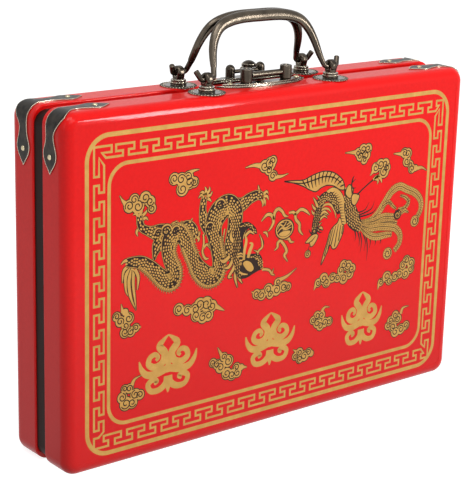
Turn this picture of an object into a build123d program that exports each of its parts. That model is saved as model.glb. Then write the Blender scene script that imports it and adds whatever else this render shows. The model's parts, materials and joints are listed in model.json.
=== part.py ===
from build123d import *
import os
from math import cos, radians, sin, tan

# A mahjong case: two shallow covered trays, hinged along the bottom, that close on a black rail.
# X runs along the case, +Y to its back, +Z up. The origin is the centre of the base.
# Everything is in millimetres, with the case closed and standing, its handles together.

# ---- The case as a whole ----
case_width = 370.0
case_height = 253.0
case_depth = 68.0
corner_radius = 11.0        # the four corners, as the case is seen from the front
face_round = 8.0            # the soft edge round each big face
rim_round = 1.2             # the edge of each tray where it meets the groove
wall = 5.0                  # sides of a tray, board and covering together
face_panel_thickness = 4.0
face_border = 9.0           # what the frame shows round the face panel
print_film = 0.12           # the front panel sits this much lower, for the printed film on it
front_tray_depth = 27.6
rear_tray_depth = 28.8

# ---- Closing rail, the black band in the groove ----
rail_side_recess = 1.4
rail_top_recess = 3.4
rail_inset = 5.8            # from the outside of the case to the rail's inner face
seam = 0.3                  # air between the closed front tray and the rail

# ---- Lining and tile well ----
lining_thickness = 0.8
lining_below_rim = 0.6
tile_length = 38.0
tile_width = 28.0
dice_channel_width = 14.0   # from the divider to the lining on the right
divider_thickness = 2.4
divider_below_rim = 8.0

# ---- Hardware line: straps and handle posts stand on it, this far from each tray's rim ----
hardware_from_rim = 10.8

# ---- Corner straps, on the two top corners of each tray ----
strap_thickness = 0.8
strap_side_reach = 42.0     # from the top of the case down to the tip
strap_top_reach = 46.0      # from the side of the case in to the tip
leaf_half_width = 7.7
neck_half_width = 4.6
strap_rim_half_width = 5.0  # at the corner, towards the rim
strap_face_half_width = 12.0    # at the corner, towards the big face
nail_from_tip = 11.5
nail_head_radius = 1.9
nail_head_height = 1.2
nail_shank_radius = 0.7
nail_length = 3.8

# ---- Handles, posts and rosettes ----
post_spacing = 115.4
rosette_radius = 13.4
rosette_thickness = 1.0
collar_radius = 5.9
collar_height = 3.6
collar_groove = 0.5
eye_height = 9.5            # the eye's centre above the top of the case
eye_radius = 4.9
eye_thickness = 6.4
eye_round = 2.2
eye_hole_radius = 2.3
post_neck_radius = 4.0
post_neck_flare = 0.5
spigot_radius = 1.5
spigot_length = 4.2
handle_wire_radius = 2.0    # where the handle goes through the eyes
grip_half_height = 4.4      # the grip is oval: taller than it is deep
grip_half_depth = 3.4
handle_rise = 41.0          # from the eyes to the grip's centre line, along the legs
handle_half_span = 48.0     # from the middle to the legs
handle_curl = 4.4           # how far the grip bends back out of the plane of the legs
handle_gap = 0.3            # between the two grips when they rest together
foot_bend_radius = 3.2
foot_turn = 75.0            # degrees that the wire turns from the leg into the eye
foot_side_gap = 0.3
leg_overlap = 0.5           # straight wire above the foot's bend, where the leg begins to thicken
stub_bend_radius = 2.4
stub_lean = 24.0            # degrees that the stub leans outward
stub_length = 5.8
stub_end_round = 0.8

# ---- Latch ----
plate_half_length = 41.0
plate_bulge = 13.2
plate_flange = 1.2
plate_deck_height = 2.6
plate_deck_inset = 1.7
plate_from_rim = 0.0
plate_nail_spacing = 62.0
plate_nail_from_rim = 3.0
plate_nail_radius = 2.1
pivot_from_rim = 5.6        # from the front rim to the line of the two barrels
barrel_spacing = 36.8
barrel_radius = 4.4
barrel_height = 13.0        # above the top of the case
barrel_dish_radius = 2.8
barrel_dish_depth = 0.6
pivot_height = 7.9
pivot_pin_radius = 1.1
pivot_pin_seat = 3.0        # how far the pin goes into each barrel
pivot_running_gap = 0.06
sleeve_radius = 2.3
sleeve_end_gap = 0.4        # from each end of the sleeve to its barrel
ball_post_from_rim = 6.8
ball_post_spacing = 28.0
ball_post_radius = 3.5
ball_post_height = 12.0
bar_radius = 1.5
bar_height = 6.6
hasp_thickness = 1.0
hasp_root_half_width = 9.5
hasp_waist_half_width = 5.0
hook_half_width = 3.0
hook_thickness = 1.1
hook_gap = 0.4              # between the hook and the bar that it drops over
hook_drop = 1.2             # how far the hook reaches below the bar's centre
knob_from_bar = 4.0
knob_neck_radius = 2.6
knob_collar_radius = 3.6
knob_radius = 5.4
knob_cap_underside = 10.2
knob_band_height = 2.2
knob_top = 14.8

# ---- Hinges, two butt hinges in the bottom of the groove ----
hinge_from_side = 75.0      # from each side of the case to the middle of a hinge
hinge_length = 40.0
hinge_axis_height = 2.4
hinge_barrel_radius = 2.2
hinge_pin_radius = 1.1
hinge_running_gap = 0.06
leaf_thickness = 0.9
leaf_above_base = 0.1
leaf_width = 13.0
leaf_from_axis = 5.4
front_knuckle_length = 13.6
knuckle_gap = 0.4
pocket_gap = 0.15
hinge_notch_gap = 0.4
hinge_nail_head_radius = 1.6
hinge_nail_head_depth = 0.5
hinge_nail_shank_radius = 0.8
hinge_nail_length = 3.6
hinge_nail_spacing = 26.0
hinge_nail_from_axis = 12.5

# ---- Places worked out from the sizes above ----
FRONT, REAR = -1, 1
LEFT, RIGHT = -1, 1
half_width = case_width / 2
face_y = {FRONT: -case_depth / 2, REAR: case_depth / 2}
rim_y = {FRONT: face_y[FRONT] + front_tray_depth, REAR: face_y[REAR] - rear_tray_depth}
hardware_y = {side: rim_y[side] + side * hardware_from_rim for side in (FRONT, REAR)}
hinge_axis_y = (rim_y[FRONT] + rim_y[REAR]) / 2
hinge_x = half_width - hinge_from_side
pivot_y = rim_y[FRONT] - pivot_from_rim
bar_y = rim_y[REAR] + ball_post_from_rim
deck_top = case_height + plate_deck_height
eye_z = case_height + eye_height
bar_z = case_height + bar_height
pivot_z = case_height + pivot_height
word = {FRONT: "front", REAR: "rear"}
hand = {LEFT: "left", RIGHT: "right"}


def slab(width, height, corner, y_a, y_b):
    """A board that stands upright, centred on the case, from one depth to the other."""
    outline = Pos(0, case_height / 2) * RectangleRounded(width, height, corner)
    return extrude(Plane.XZ.offset(-max(y_a, y_b)) * outline, abs(y_b - y_a))


def box_between(low, high):
    size = [b - a for a, b in zip(low, high)]
    return Pos(*low) * Box(*size, align=(Align.MIN, Align.MIN, Align.MIN))


def upright(x, y, z_low, z_high, radius):
    return Pos(x, y, z_low) * Cylinder(radius, z_high - z_low, align=(Align.CENTER, Align.CENTER, Align.MIN))


def along_x(x_low, x_high, y, z, radius):
    rod = Cylinder(radius, x_high - x_low, align=(Align.CENTER, Align.CENTER, Align.MIN))
    return Pos(x_low, y, z) * Rot(0, 90, 0) * rod


def turned(x, y, z, points):
    """A turned piece: points are (radius, height) from its foot up, and it stands at x, y, z."""
    profile = Polyline((0, points[0][1]), *points, (0, points[-1][1]), close=True)
    return Pos(x, y, z) * revolve(Plane.XZ * make_face(profile), Axis.Z)


# ---- Trays ----
def tray_block(side, grow=0.0):
    """The outside of one tray as a solid block, with all its soft edges."""
    block = slab(case_width + 2 * grow, case_height + 2 * grow, corner_radius + grow,
                 face_y[side] + side * grow, rim_y[side])
    by_depth = block.edges().group_by(Axis.Y)
    block = fillet(by_depth[0 if side == FRONT else -1], face_round + grow)
    by_depth = block.edges().group_by(Axis.Y)
    return fillet(by_depth[-1 if side == FRONT else 0], rim_round)


def strap_nail_places(side, hand_side):
    """Where the two nails of one strap stand: on the side of the case and on its top."""
    on_side = (hand_side * half_width, hardware_y[side], case_height - strap_side_reach + nail_from_tip)
    on_top = (hand_side * (half_width - strap_top_reach + nail_from_tip), hardware_y[side], case_height)
    return on_side, on_top


def strap_nail(side, hand_side, place, radius, head):
    """A dome-headed nail, or with no head the hole that it leaves."""
    shank = Cylinder(radius, nail_length + strap_thickness, align=(Align.CENTER, Align.CENTER, Align.MIN))
    nail = Pos(0, 0, -nail_length) * shank
    if head:
        nail += Pos(0, 0, strap_thickness) * dome(nail_head_radius, nail_head_height)
    x, y, z = place
    tilt = 0 if z == case_height else hand_side * 90
    return Pos(x, y, z) * Rot(0, tilt, 0) * nail


def dome(radius, height):
    """A round head: the cap of a ball, flat side down, at the origin."""
    ball_radius = (radius ** 2 + height ** 2) / (2 * height)
    profile = Polyline((0, height), (0, 0), (radius, 0))
    rise = RadiusArc((radius, 0), (0, height), -ball_radius)
    return revolve(Plane.XZ * make_face(profile + rise), Axis.Z)


def post_places(side):
    return [(hand_side, hand_side * post_spacing / 2, hardware_y[side]) for hand_side in (LEFT, RIGHT)]


def hinge_pocket(side, x):
    y_low, y_high = sorted((rim_y[side], hinge_axis_y + side * (leaf_from_axis + leaf_width + pocket_gap)))
    reach = hinge_length / 2 + pocket_gap
    return box_between((x - reach, y_low, 0), (x + reach, y_high, leaf_above_base + leaf_thickness))


def hinge_nail_places(side):
    places = []
    for hinge in (LEFT, RIGHT):
        for end in (LEFT, RIGHT):
            x = hinge * hinge_x + end * hinge_nail_spacing / 2
            places.append((x, hinge_axis_y + side * hinge_nail_from_axis))
    return places


def plate_nail_places(side):
    y = rim_y[side] + side * (plate_from_rim + plate_nail_from_rim)
    return [(end * plate_nail_spacing / 2, y) for end in (LEFT, RIGHT)]


def latch_post_places(side):
    spacing, y = (barrel_spacing, pivot_y) if side == FRONT else (ball_post_spacing, bar_y)
    return [(end * spacing / 2, y) for end in (LEFT, RIGHT)]


def tray_frame(side):
    """The four sides of a tray in one piece, with the border round its face and its fixing holes."""
    face_back = face_y[side] - side * face_panel_thickness
    frame = tray_block(side)
    frame -= slab(case_width - 2 * wall, case_height - 2 * wall, corner_radius - wall, face_back, rim_y[side])
    frame -= slab(case_width - 2 * face_border, case_height - 2 * face_border, corner_radius - wall,
                  face_y[side], face_back)
    for hand_side in (LEFT, RIGHT):
        for place in strap_nail_places(side, hand_side):
            frame -= strap_nail(side, hand_side, place, nail_shank_radius, head=False)
        frame -= hinge_pocket(side, hand_side * hinge_x)
    for hand_side, x, y in post_places(side):
        frame -= upright(x, y, case_height - spigot_length, case_height, spigot_radius)
    for x, y in latch_post_places(side):
        frame -= upright(x, y, case_height - spigot_length, case_height, spigot_radius)
    for x, y in plate_nail_places(side):
        frame -= upright(x, y, case_height - nail_length, case_height, nail_shank_radius)
    for x, y in hinge_nail_places(side):
        frame -= upright(x, y, 0, hinge_nail_length, hinge_nail_shank_radius)
    return frame


def tray_panel(side):
    sunk = print_film if side == FRONT else 0
    return slab(case_width - 2 * face_border, case_height - 2 * face_border, corner_radius - wall,
                face_y[side] - side * sunk, face_y[side] - side * face_panel_thickness)


def tray_lining(side):
    """The flocked lining: a thin inner tray on the walls and the back of the face panel."""
    face_back = face_y[side] - side * face_panel_thickness
    inset = wall + lining_thickness
    lining = slab(case_width - 2 * wall, case_height - 2 * wall, corner_radius - wall,
                  face_back, rim_y[side] + side * lining_below_rim)
    return lining - slab(case_width - 2 * inset, case_height - 2 * inset, corner_radius - inset,
                         face_back - side * lining_thickness, rim_y[side])


def closing_rail():
    """The black rail on the rear tray's rim, notched where the hinge barrels lie."""
    y_low, y_high = rim_y[FRONT] + seam, rim_y[REAR]
    rail = slab(case_width - 2 * rail_side_recess, case_height - 2 * rail_top_recess,
                corner_radius - rail_side_recess, y_low, y_high)
    rail -= slab(case_width - 2 * rail_inset, case_height - 2 * rail_inset, corner_radius - rail_inset,
                 y_low, y_high)
    for hinge in (LEFT, RIGHT):
        reach = hinge_length / 2 + hinge_notch_gap
        x = hinge * hinge_x
        rail -= along_x(x - reach, x + reach, hinge_axis_y, hinge_axis_height,
                        hinge_barrel_radius + hinge_notch_gap)
    return rail


def dice_divider():
    """An upright strip in the rear tray: the tiles lie on its left, the dice and counters on its right."""
    inset = wall + lining_thickness
    x = half_width - inset - dice_channel_width - divider_thickness
    floor_y = face_y[REAR] - face_panel_thickness - lining_thickness
    return box_between((x, rim_y[REAR] + divider_below_rim, inset),
                       (x + divider_thickness, floor_y, case_height - inset))


# ---- Corner straps ----
def strap_outline(reach, side):
    """One arm of a strap laid flat: u runs from its tip to the corner, v across, + towards the big face."""
    leaf = [(5.0, 0.52 * leaf_half_width), (9.5, 0.9 * leaf_half_width), (14.0, leaf_half_width),
            (18.5, 0.8 * leaf_half_width), (22.5, 1.06 * neck_half_width)]
    rim_edge = leaf + [(reach - 15, neck_half_width), (reach - 6, strap_rim_half_width),
                       (reach + 2, strap_rim_half_width)]
    face_edge = leaf + [(reach - 15, neck_half_width), (reach - 10, 0.66 * strap_face_half_width),
                        (reach - 5, 0.92 * strap_face_half_width), (reach + 2, strap_face_half_width)]
    near = Spline((0, 0), *[(u, -v) for u, v in rim_edge])
    far = Spline((0, 0), *face_edge)
    return make_face(near + Line(near @ 1, far @ 1) + far)


def corner_strap(side, hand_side):
    """A thin plate bent over one top corner of a tray, following all its soft edges."""
    skin = tray_block(side, grow=strap_thickness) - tray_block(side)
    reach_out = 40.0
    centre_x, centre_z = half_width - corner_radius, case_height - corner_radius
    top_wedge = Polyline((centre_x, centre_z), (centre_x + reach_out, centre_z + reach_out),
                         (0, centre_z + reach_out), (0, centre_z), close=True)
    side_wedge = Polyline((centre_x, centre_z), (centre_x + reach_out, centre_z + reach_out),
                          (centre_x + reach_out, 0), (centre_x, 0), close=True)
    top_plane = Plane((half_width - strap_top_reach, hardware_y[side], centre_z),
                      x_dir=(1, 0, 0), z_dir=(0, 0, side))
    side_plane = Plane((centre_x, hardware_y[side], case_height - strap_side_reach),
                       x_dir=(0, 0, 1), z_dir=(-side, 0, 0))
    arms = []
    for wedge, plane, reach in ((top_wedge, top_plane, strap_top_reach),
                                (side_wedge, side_plane, strap_side_reach)):
        room = extrude(Plane.XZ * make_face(wedge), case_depth, both=True)
        arms.append(skin & room & extrude(plane * strap_outline(reach, side), reach_out, both=True))
    strap = arms[0] + arms[1]
    if hand_side == LEFT:
        strap = mirror(strap, Plane.YZ)
    for place in strap_nail_places(side, hand_side):
        strap -= strap_nail(side, hand_side, place, nail_shank_radius, head=False)
    return strap


# ---- Handles ----
def eye_post(x, y):
    """A post with a grooved collar below and an eye on top, pegged into the case through its rosette."""
    foot = rosette_thickness
    groove_low = foot + 0.5 * collar_height
    groove_high = groove_low + collar_groove
    collar_top = foot + collar_height
    post = turned(x, y, case_height, [
        (spigot_radius, -spigot_length), (spigot_radius, foot), (collar_radius, foot),
        (collar_radius, groove_low), (collar_radius - collar_groove, groove_low),
        (collar_radius - collar_groove, groove_high), (collar_radius - 0.3, groove_high),
        (collar_radius - 0.3, collar_top), (post_neck_radius, collar_top),
        (post_neck_radius + post_neck_flare, eye_height - 0.3 * eye_radius)])
    side_room = box_between((x - eye_thickness / 2, y - 2 * eye_radius, case_height + collar_top),
                            (x + eye_thickness / 2, y + 2 * eye_radius, eye_z))
    foot_room = upright(x, y, case_height - spigot_length, case_height + collar_top, 2 * collar_radius)
    post = post & (side_room + foot_room)
    eye = along_x(x - eye_thickness / 2, x + eye_thickness / 2, y, eye_z, eye_radius)
    post += fillet(eye.edges(), eye_round)
    return post - along_x(x - 2 * eye_radius, x + 2 * eye_radius, y, eye_z, eye_hole_radius)


def rosette(x, y):
    """A thin round plate between the post and the case."""
    plate = upright(x, y, case_height, case_height + rosette_thickness, rosette_radius)
    plate = chamfer(plate.edges().group_by(Axis.Z)[-1], 0.4 * rosette_thickness)
    return plate - upright(x, y, case_height, case_height + rosette_thickness, spigot_radius)


def handle_foot():
    """The wire at one end of a handle: down from the leg, through the eye, and up into the stub."""
    eye_x = post_spacing / 2
    inner = eye_x - eye_thickness / 2 - foot_side_gap
    outer = eye_x + eye_thickness / 2 + foot_side_gap
    foot = along_x(inner, outer, 0, 0, handle_wire_radius)
    ends = []
    for x, way, bend, turn, run in ((inner, -1, foot_bend_radius, foot_turn, leg_overlap),
                                    (outer, 1, stub_bend_radius, 90 - stub_lean, stub_length)):
        start = Plane((x, 0, 0), z_dir=(1, 0, 0)) * Circle(handle_wire_radius)
        foot += revolve(start, Axis((x, 0, bend), (0, -way, 0)), revolution_arc=turn)
        along, up = way * cos(radians(turn)), sin(radians(turn))
        bend_end = Vector(x + way * bend * sin(radians(turn)), 0, bend * (1 - cos(radians(turn))))
        end_disc = Plane(bend_end, z_dir=(along, 0, up)) * Circle(handle_wire_radius)
        foot += extrude(end_disc, run)
        ends.append(bend_end + Vector(along, 0, up) * run)
    leg_end, stub_end = ends
    stub_rim = foot.edges().sort_by_distance(stub_end + Vector(0, handle_wire_radius, 0))[0]
    return fillet(stub_rim, stub_end_round), (leg_end.X, leg_end.Z)


def handle_bow(leg_end):
    """The bow between the two feet: round and thin at its legs, oval and thick in the grip."""
    span, rise = handle_half_span, handle_rise
    half = [(leg_end[0], leg_end[1], 0.0), (span + 1.4, 0.22 * rise, 0.2), (span + 0.2, 0.38 * rise, 0.38),
            (span - 1.8, 0.56 * rise, 0.52), (span - 5.0, 0.72 * rise, 0.66), (span - 10.2, 0.86 * rise, 0.8),
            (span - 19.0, 0.95 * rise, 0.92)]
    stations = half + [(0, rise, 1.0)] + [(-x, z, share) for x, z, share in reversed(half)]
    spots = [Vector(x, handle_curl * curl_share(z, leg_end[1]), z) for x, z, share in stations]
    leg = radians(foot_turn)
    line = Spline(*spots, tangents=[(-cos(leg), 0, sin(leg)), (-cos(leg), 0, -sin(leg))])
    sections = []
    for spot, (x, z, share) in zip(spots, stations):
        along = line % line.param_at_point(spot)
        height = handle_wire_radius + share * (grip_half_height - handle_wire_radius)
        depth = handle_wire_radius + share * (grip_half_depth - handle_wire_radius)
        outline = Ellipse(height, depth) if share else Circle(handle_wire_radius)
        sections.append(Plane(spot, x_dir=Vector(0, 1, 0).cross(along), z_dir=along) * outline)
    return sweep(sections, path=line, multisection=True)


def curl_share(height, start):
    """How much of the curl a height has: none where the legs start, all of it at the grip."""
    return ((height - start) / (handle_rise - start)) ** 2


def handle(side):
    """One bail handle, leaning on its eyes towards the other one."""
    foot, leg_end = handle_foot()
    whole = handle_bow(leg_end) + foot + mirror(foot, Plane.YZ)
    if side == FRONT:
        whole = mirror(whole, Plane.XZ)
    return Pos(0, hardware_y[side], eye_z) * Rot(side * handle_lean(side), 0, 0) * whole


def handle_lean(side):
    """Degrees from upright at which the two grips just miss each other."""
    seam_middle = (hardware_y[FRONT] + hardware_y[REAR]) / 2
    reach = abs(hardware_y[side] - seam_middle) - grip_half_depth - handle_gap / 2
    low, high = 0.0, 60.0
    for step in range(40):
        middle = (low + high) / 2
        if handle_rise * sin(radians(middle)) - handle_curl * cos(radians(middle)) < reach:
            low = middle
        else:
            high = middle
    return low


# ---- Latch ----
def plate_outline(side, inset):
    """Half of a flattened lens: straight along the rim, bowed towards the big face."""
    tip, bulge = plate_half_length - 2.4 * inset, plate_bulge - inset
    shoulder = (0.48 * plate_half_length, 0.9 * bulge)
    knee = (0.8 * tip, 0.52 * bulge)
    start = (tip, inset if inset else 0)
    right = ThreePointArc(start, knee, shoulder)
    front = ThreePointArc(shoulder, (0, bulge), (-shoulder[0], shoulder[1]))
    left = ThreePointArc((-shoulder[0], shoulder[1]), (-knee[0], knee[1]), (-start[0], start[1]))
    back = Line((-start[0], start[1]), start)
    return make_face(right + front + left + back)


def latch_plate(side):
    """A pressed plate: a thin flange and a raised deck, with holes for its posts and nails."""
    base = Plane((0, rim_y[side] + side * plate_from_rim, case_height), x_dir=(side, 0, 0), z_dir=(0, 0, 1))
    plate = extrude(base * plate_outline(side, 0), plate_flange)
    plate += extrude(base * plate_outline(side, plate_deck_inset), plate_deck_height)
    for x, y in latch_post_places(side):
        plate -= upright(x, y, case_height, deck_top, spigot_radius)
    for x, y in plate_nail_places(side):
        plate -= upright(x, y, case_height, deck_top, nail_shank_radius)
    return plate


def plate_nails(side):
    nails = []
    for x, y in plate_nail_places(side):
        shank = upright(x, y, case_height - nail_length, deck_top, nail_shank_radius)
        nails.append(shank + Pos(x, y, deck_top) * dome(plate_nail_radius, nail_head_height))
    return nails


def pivot_barrel(x):
    """An upright barrel with a dished top, pegged through the front plate."""
    edge = 0.5
    barrel = turned(x, pivot_y, case_height, [
        (spigot_radius, -spigot_length), (spigot_radius, plate_deck_height),
        (barrel_radius - edge, plate_deck_height), (barrel_radius, plate_deck_height + 2 * edge),
        (barrel_radius, barrel_height - edge), (barrel_radius - edge, barrel_height),
        (barrel_dish_radius, barrel_height), (barrel_dish_radius - edge, barrel_height - barrel_dish_depth)])
    return barrel - hasp_pin()


def hasp_pin():
    reach = barrel_spacing / 2 - barrel_radius + pivot_pin_seat
    return along_x(-reach, reach, pivot_y, pivot_z, pivot_pin_radius)


def ball_post(x):
    """A post with a ball top, pegged through the rear plate and bored for the catch bar."""
    shaft_top = ball_post_height - ball_post_radius
    shaft = turned(x, bar_y, case_height, [
        (spigot_radius, -spigot_length), (spigot_radius, plate_deck_height),
        (ball_post_radius, plate_deck_height), (ball_post_radius, shaft_top)])
    ball = Pos(x, bar_y, case_height + shaft_top) * Sphere(ball_post_radius)
    return shaft + ball - catch_bar()


def catch_bar():
    reach = ball_post_spacing / 2 + 0.5 * ball_post_radius
    return along_x(-reach, reach, bar_y, bar_z, bar_radius)


def hasp():
    """A plate rolled round the pin at one end, with a narrow hook over the catch bar at the other."""
    low = pivot_z - sleeve_radius
    high = low + hasp_thickness
    sleeve_reach = barrel_spacing / 2 - barrel_radius - sleeve_end_gap
    inner = bar_radius + hook_gap
    outer = inner + hook_thickness
    knob_y = bar_y - knob_from_bar
    outline = Polyline((-hasp_root_half_width, pivot_y), (hasp_root_half_width, pivot_y),
                       (hasp_root_half_width, pivot_y + 6), (hasp_waist_half_width, knob_y - 3),
                       (hasp_waist_half_width, knob_y + 1), (hook_half_width, bar_y - outer + 0.5),
                       (-hook_half_width, bar_y - outer + 0.5), (-hasp_waist_half_width, knob_y + 1),
                       (-hasp_waist_half_width, knob_y - 3), (-hasp_root_half_width, pivot_y + 6),
                       close=True)
    plate = Pos(0, 0, low) * extrude(make_face(outline), hasp_thickness)
    plate += along_x(-sleeve_reach, sleeve_reach, pivot_y, pivot_z, sleeve_radius)
    over_bar = along_x(-hook_half_width, hook_half_width, bar_y, bar_z, outer)
    over_bar -= box_between((-hook_half_width, bar_y - 2 * outer, bar_z - 2 * outer),
                            (hook_half_width, bar_y + 2 * outer, bar_z))
    foot_low = min(low, bar_z - 0.01)
    over_bar += box_between((-hook_half_width, bar_y - outer, foot_low), (hook_half_width, bar_y - inner, bar_z))
    over_bar += box_between((-hook_half_width, bar_y + inner, bar_z - hook_drop),
                            (hook_half_width, bar_y + outer, bar_z))
    over_bar -= along_x(-hook_half_width, hook_half_width, bar_y, bar_z, inner)
    plate += over_bar
    plate -= along_x(-sleeve_reach, sleeve_reach, pivot_y, pivot_z, pivot_pin_radius + pivot_running_gap)
    return plate - upright(0, knob_y, low, high, spigot_radius)


def hasp_knob():
    """A mushroom knob riveted through the hasp: a grooved neck, a banded edge and a domed top."""
    low = pivot_z - sleeve_radius
    high = low + hasp_thickness
    y = bar_y - knob_from_bar
    cap_low, band_top = case_height + knob_cap_underside, case_height + knob_cap_underside + knob_band_height
    collar = 0.35 * (cap_low - high)
    knob = upright(0, y, low, high, spigot_radius)
    knob += upright(0, y, high, cap_low, knob_neck_radius)
    knob += upright(0, y, high, high + collar, knob_collar_radius)
    knob += upright(0, y, cap_low, band_top, knob_radius)
    knob += Pos(0, y, band_top) * dome(knob_radius - 0.4, case_height + knob_top - band_top)
    return knob - along_x(-knob_radius, knob_radius, bar_y, bar_z, bar_radius + hook_gap + hook_thickness + 0.3)


# ---- Hinges ----
def knuckle_spans(side):
    """Where one leaf's knuckles lie along the hinge."""
    front_end = front_knuckle_length / 2
    if side == FRONT:
        return [(-front_end, front_end)]
    return [(-hinge_length / 2, -front_end - knuckle_gap), (front_end + knuckle_gap, hinge_length / 2)]


def hinge_leaf(side, hinge):
    """A thin leaf let into the tray's bottom, with its knuckles reaching into the groove."""
    x0 = hinge * hinge_x
    low, high = leaf_above_base, leaf_above_base + leaf_thickness
    y_near, y_far = sorted((hinge_axis_y + side * leaf_from_axis,
                            hinge_axis_y + side * (leaf_from_axis + leaf_width)))
    leaf = box_between((x0 - hinge_length / 2, y_near, low), (x0 + hinge_length / 2, y_far, high))
    bore = hinge_pin_radius + (hinge_running_gap if side == FRONT else 0)
    for start, end in knuckle_spans(side):
        arm_low, arm_high = sorted((hinge_axis_y, hinge_axis_y + side * (leaf_from_axis + 0.5)))
        leaf += box_between((x0 + start, arm_low, low), (x0 + end, arm_high, high))
        leaf += along_x(x0 + start, x0 + end, hinge_axis_y, hinge_axis_height, hinge_barrel_radius)
        leaf -= along_x(x0 + start, x0 + end, hinge_axis_y, hinge_axis_height, bore)
    for x, y in hinge_nail_places(side):
        leaf -= hinge_nail(x, y)
    return leaf


def hinge_pin(hinge):
    x0 = hinge * hinge_x
    return along_x(x0 - hinge_length / 2, x0 + hinge_length / 2, hinge_axis_y, hinge_axis_height,
                   hinge_pin_radius)


def hinge_nail(x, y):
    head = upright(x, y, leaf_above_base, leaf_above_base + hinge_nail_head_depth, hinge_nail_head_radius)
    return head + upright(x, y, leaf_above_base, hinge_nail_length, hinge_nail_shank_radius)


# ---- The whole case ----
def build_nodes():
    nodes = {}
    for side in (FRONT, REAR):
        name = word[side]
        nodes[f"{name}_frame"] = tray_frame(side)
        nodes[f"{name}_panel"] = tray_panel(side)
        nodes[f"{name}_lining"] = tray_lining(side)
        nails = []
        for hand_side in (LEFT, RIGHT):
            nodes[f"{name}_{hand[hand_side]}_strap"] = corner_strap(side, hand_side)
            for place in strap_nail_places(side, hand_side):
                nails.append(strap_nail(side, hand_side, place, nail_shank_radius, head=True))
        nodes[f"{name}_strap_nails"] = Compound(children=nails)
        for hand_side, x, y in post_places(side):
            nodes[f"{name}_{hand[hand_side]}_rosette"] = rosette(x, y)
            nodes[f"{name}_{hand[hand_side]}_eye_post"] = eye_post(x, y)
        nodes[f"{name}_handle"] = handle(side)
        nodes[f"latch_{name}_plate"] = latch_plate(side)
        nodes[f"latch_{name}_nails"] = Compound(children=plate_nails(side))
        for hinge in (LEFT, RIGHT):
            nodes[f"{hand[hinge]}_hinge_{name}_leaf"] = hinge_leaf(side, hinge)
        pegs = [hinge_nail(x, y) for x, y in hinge_nail_places(side)]
        nodes[f"hinge_{name}_nails"] = Compound(children=pegs)
    nodes["closing_rail"] = closing_rail()
    nodes["dice_divider"] = dice_divider()
    for end in (LEFT, RIGHT):
        nodes[f"hasp_{hand[end]}_barrel"] = pivot_barrel(end * barrel_spacing / 2)
        nodes[f"catch_{hand[end]}_ball_post"] = ball_post(end * ball_post_spacing / 2)
        nodes[f"{hand[end]}_hinge_pin"] = hinge_pin(end)
    nodes["hasp_pin"] = hasp_pin()
    nodes["catch_bar"] = catch_bar()
    nodes["hasp"] = hasp()
    nodes["hasp_knob"] = hasp_knob()
    return nodes


def main():
    os.makedirs("parts", exist_ok=True)
    for name, shape in build_nodes().items():
        export_step(shape, f"parts/{name}.step")
    print("hinge axis", hinge_axis_y, hinge_axis_height)
    print("handle eyes", hardware_y[FRONT], hardware_y[REAR], eye_z, "lean", round(handle_lean(FRONT), 3))
    print("hasp pin", pivot_y, pivot_z)
    well = case_width - 2 * (wall + lining_thickness) - dice_channel_width - divider_thickness
    rows = (case_height - 2 * (wall + lining_thickness)) // tile_width
    print("tiles in a layer of the rear well", int(well // tile_length), "by", int(rows))


main()
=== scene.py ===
# %% [markdown]
# # A red mahjong case
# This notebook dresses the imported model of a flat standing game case. The model brings every solid
# of the case: two trays, corner straps, bail handles, the hasp latch and the hinges. Blender gives
# each one its finish, prints the front in gold and black, and lights the case for a camera that
# stands to the left of its front. The first cell empties the default scene, loads the solids as a
# fixed frame and keeps their bounding box, because nothing made here may be bigger than the case.

# %% Load the frame
import json
import math

import bpy
from mathutils import Matrix, Vector, geometry

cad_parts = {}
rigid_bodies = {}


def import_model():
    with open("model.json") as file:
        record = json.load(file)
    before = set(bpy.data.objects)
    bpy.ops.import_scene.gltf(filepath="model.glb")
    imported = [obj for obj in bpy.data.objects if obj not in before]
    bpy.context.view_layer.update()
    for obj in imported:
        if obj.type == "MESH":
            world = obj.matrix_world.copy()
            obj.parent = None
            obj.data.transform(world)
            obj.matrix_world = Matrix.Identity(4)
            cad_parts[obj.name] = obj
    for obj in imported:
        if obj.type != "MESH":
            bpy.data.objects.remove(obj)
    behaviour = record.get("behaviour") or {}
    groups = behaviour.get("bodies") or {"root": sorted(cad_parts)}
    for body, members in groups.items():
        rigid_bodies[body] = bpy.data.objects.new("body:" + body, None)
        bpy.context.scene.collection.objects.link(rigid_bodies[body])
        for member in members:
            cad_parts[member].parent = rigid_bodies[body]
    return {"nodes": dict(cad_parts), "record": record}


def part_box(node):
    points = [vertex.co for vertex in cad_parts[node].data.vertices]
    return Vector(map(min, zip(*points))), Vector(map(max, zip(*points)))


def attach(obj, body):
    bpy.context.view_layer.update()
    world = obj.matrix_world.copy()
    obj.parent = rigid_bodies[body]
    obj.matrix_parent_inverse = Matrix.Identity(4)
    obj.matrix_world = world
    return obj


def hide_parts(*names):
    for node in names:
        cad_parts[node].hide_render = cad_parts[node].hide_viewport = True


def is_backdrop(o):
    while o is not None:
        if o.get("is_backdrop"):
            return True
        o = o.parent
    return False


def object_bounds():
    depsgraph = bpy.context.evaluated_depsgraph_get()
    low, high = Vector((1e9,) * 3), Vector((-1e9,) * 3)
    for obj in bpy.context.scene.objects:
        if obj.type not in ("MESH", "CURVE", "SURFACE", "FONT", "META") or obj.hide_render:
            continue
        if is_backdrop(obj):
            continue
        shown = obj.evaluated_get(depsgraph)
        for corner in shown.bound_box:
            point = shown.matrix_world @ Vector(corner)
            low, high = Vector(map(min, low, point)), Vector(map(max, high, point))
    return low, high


for leftover in list(bpy.data.objects):
    bpy.data.objects.remove(leftover)
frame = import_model()
cad_box = [list(corner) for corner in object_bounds()]
scene = bpy.context.scene
scene.view_settings.view_transform = "Standard"
mm = 0.001
print("nodes", len(frame["nodes"]), "box", cad_box)

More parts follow.
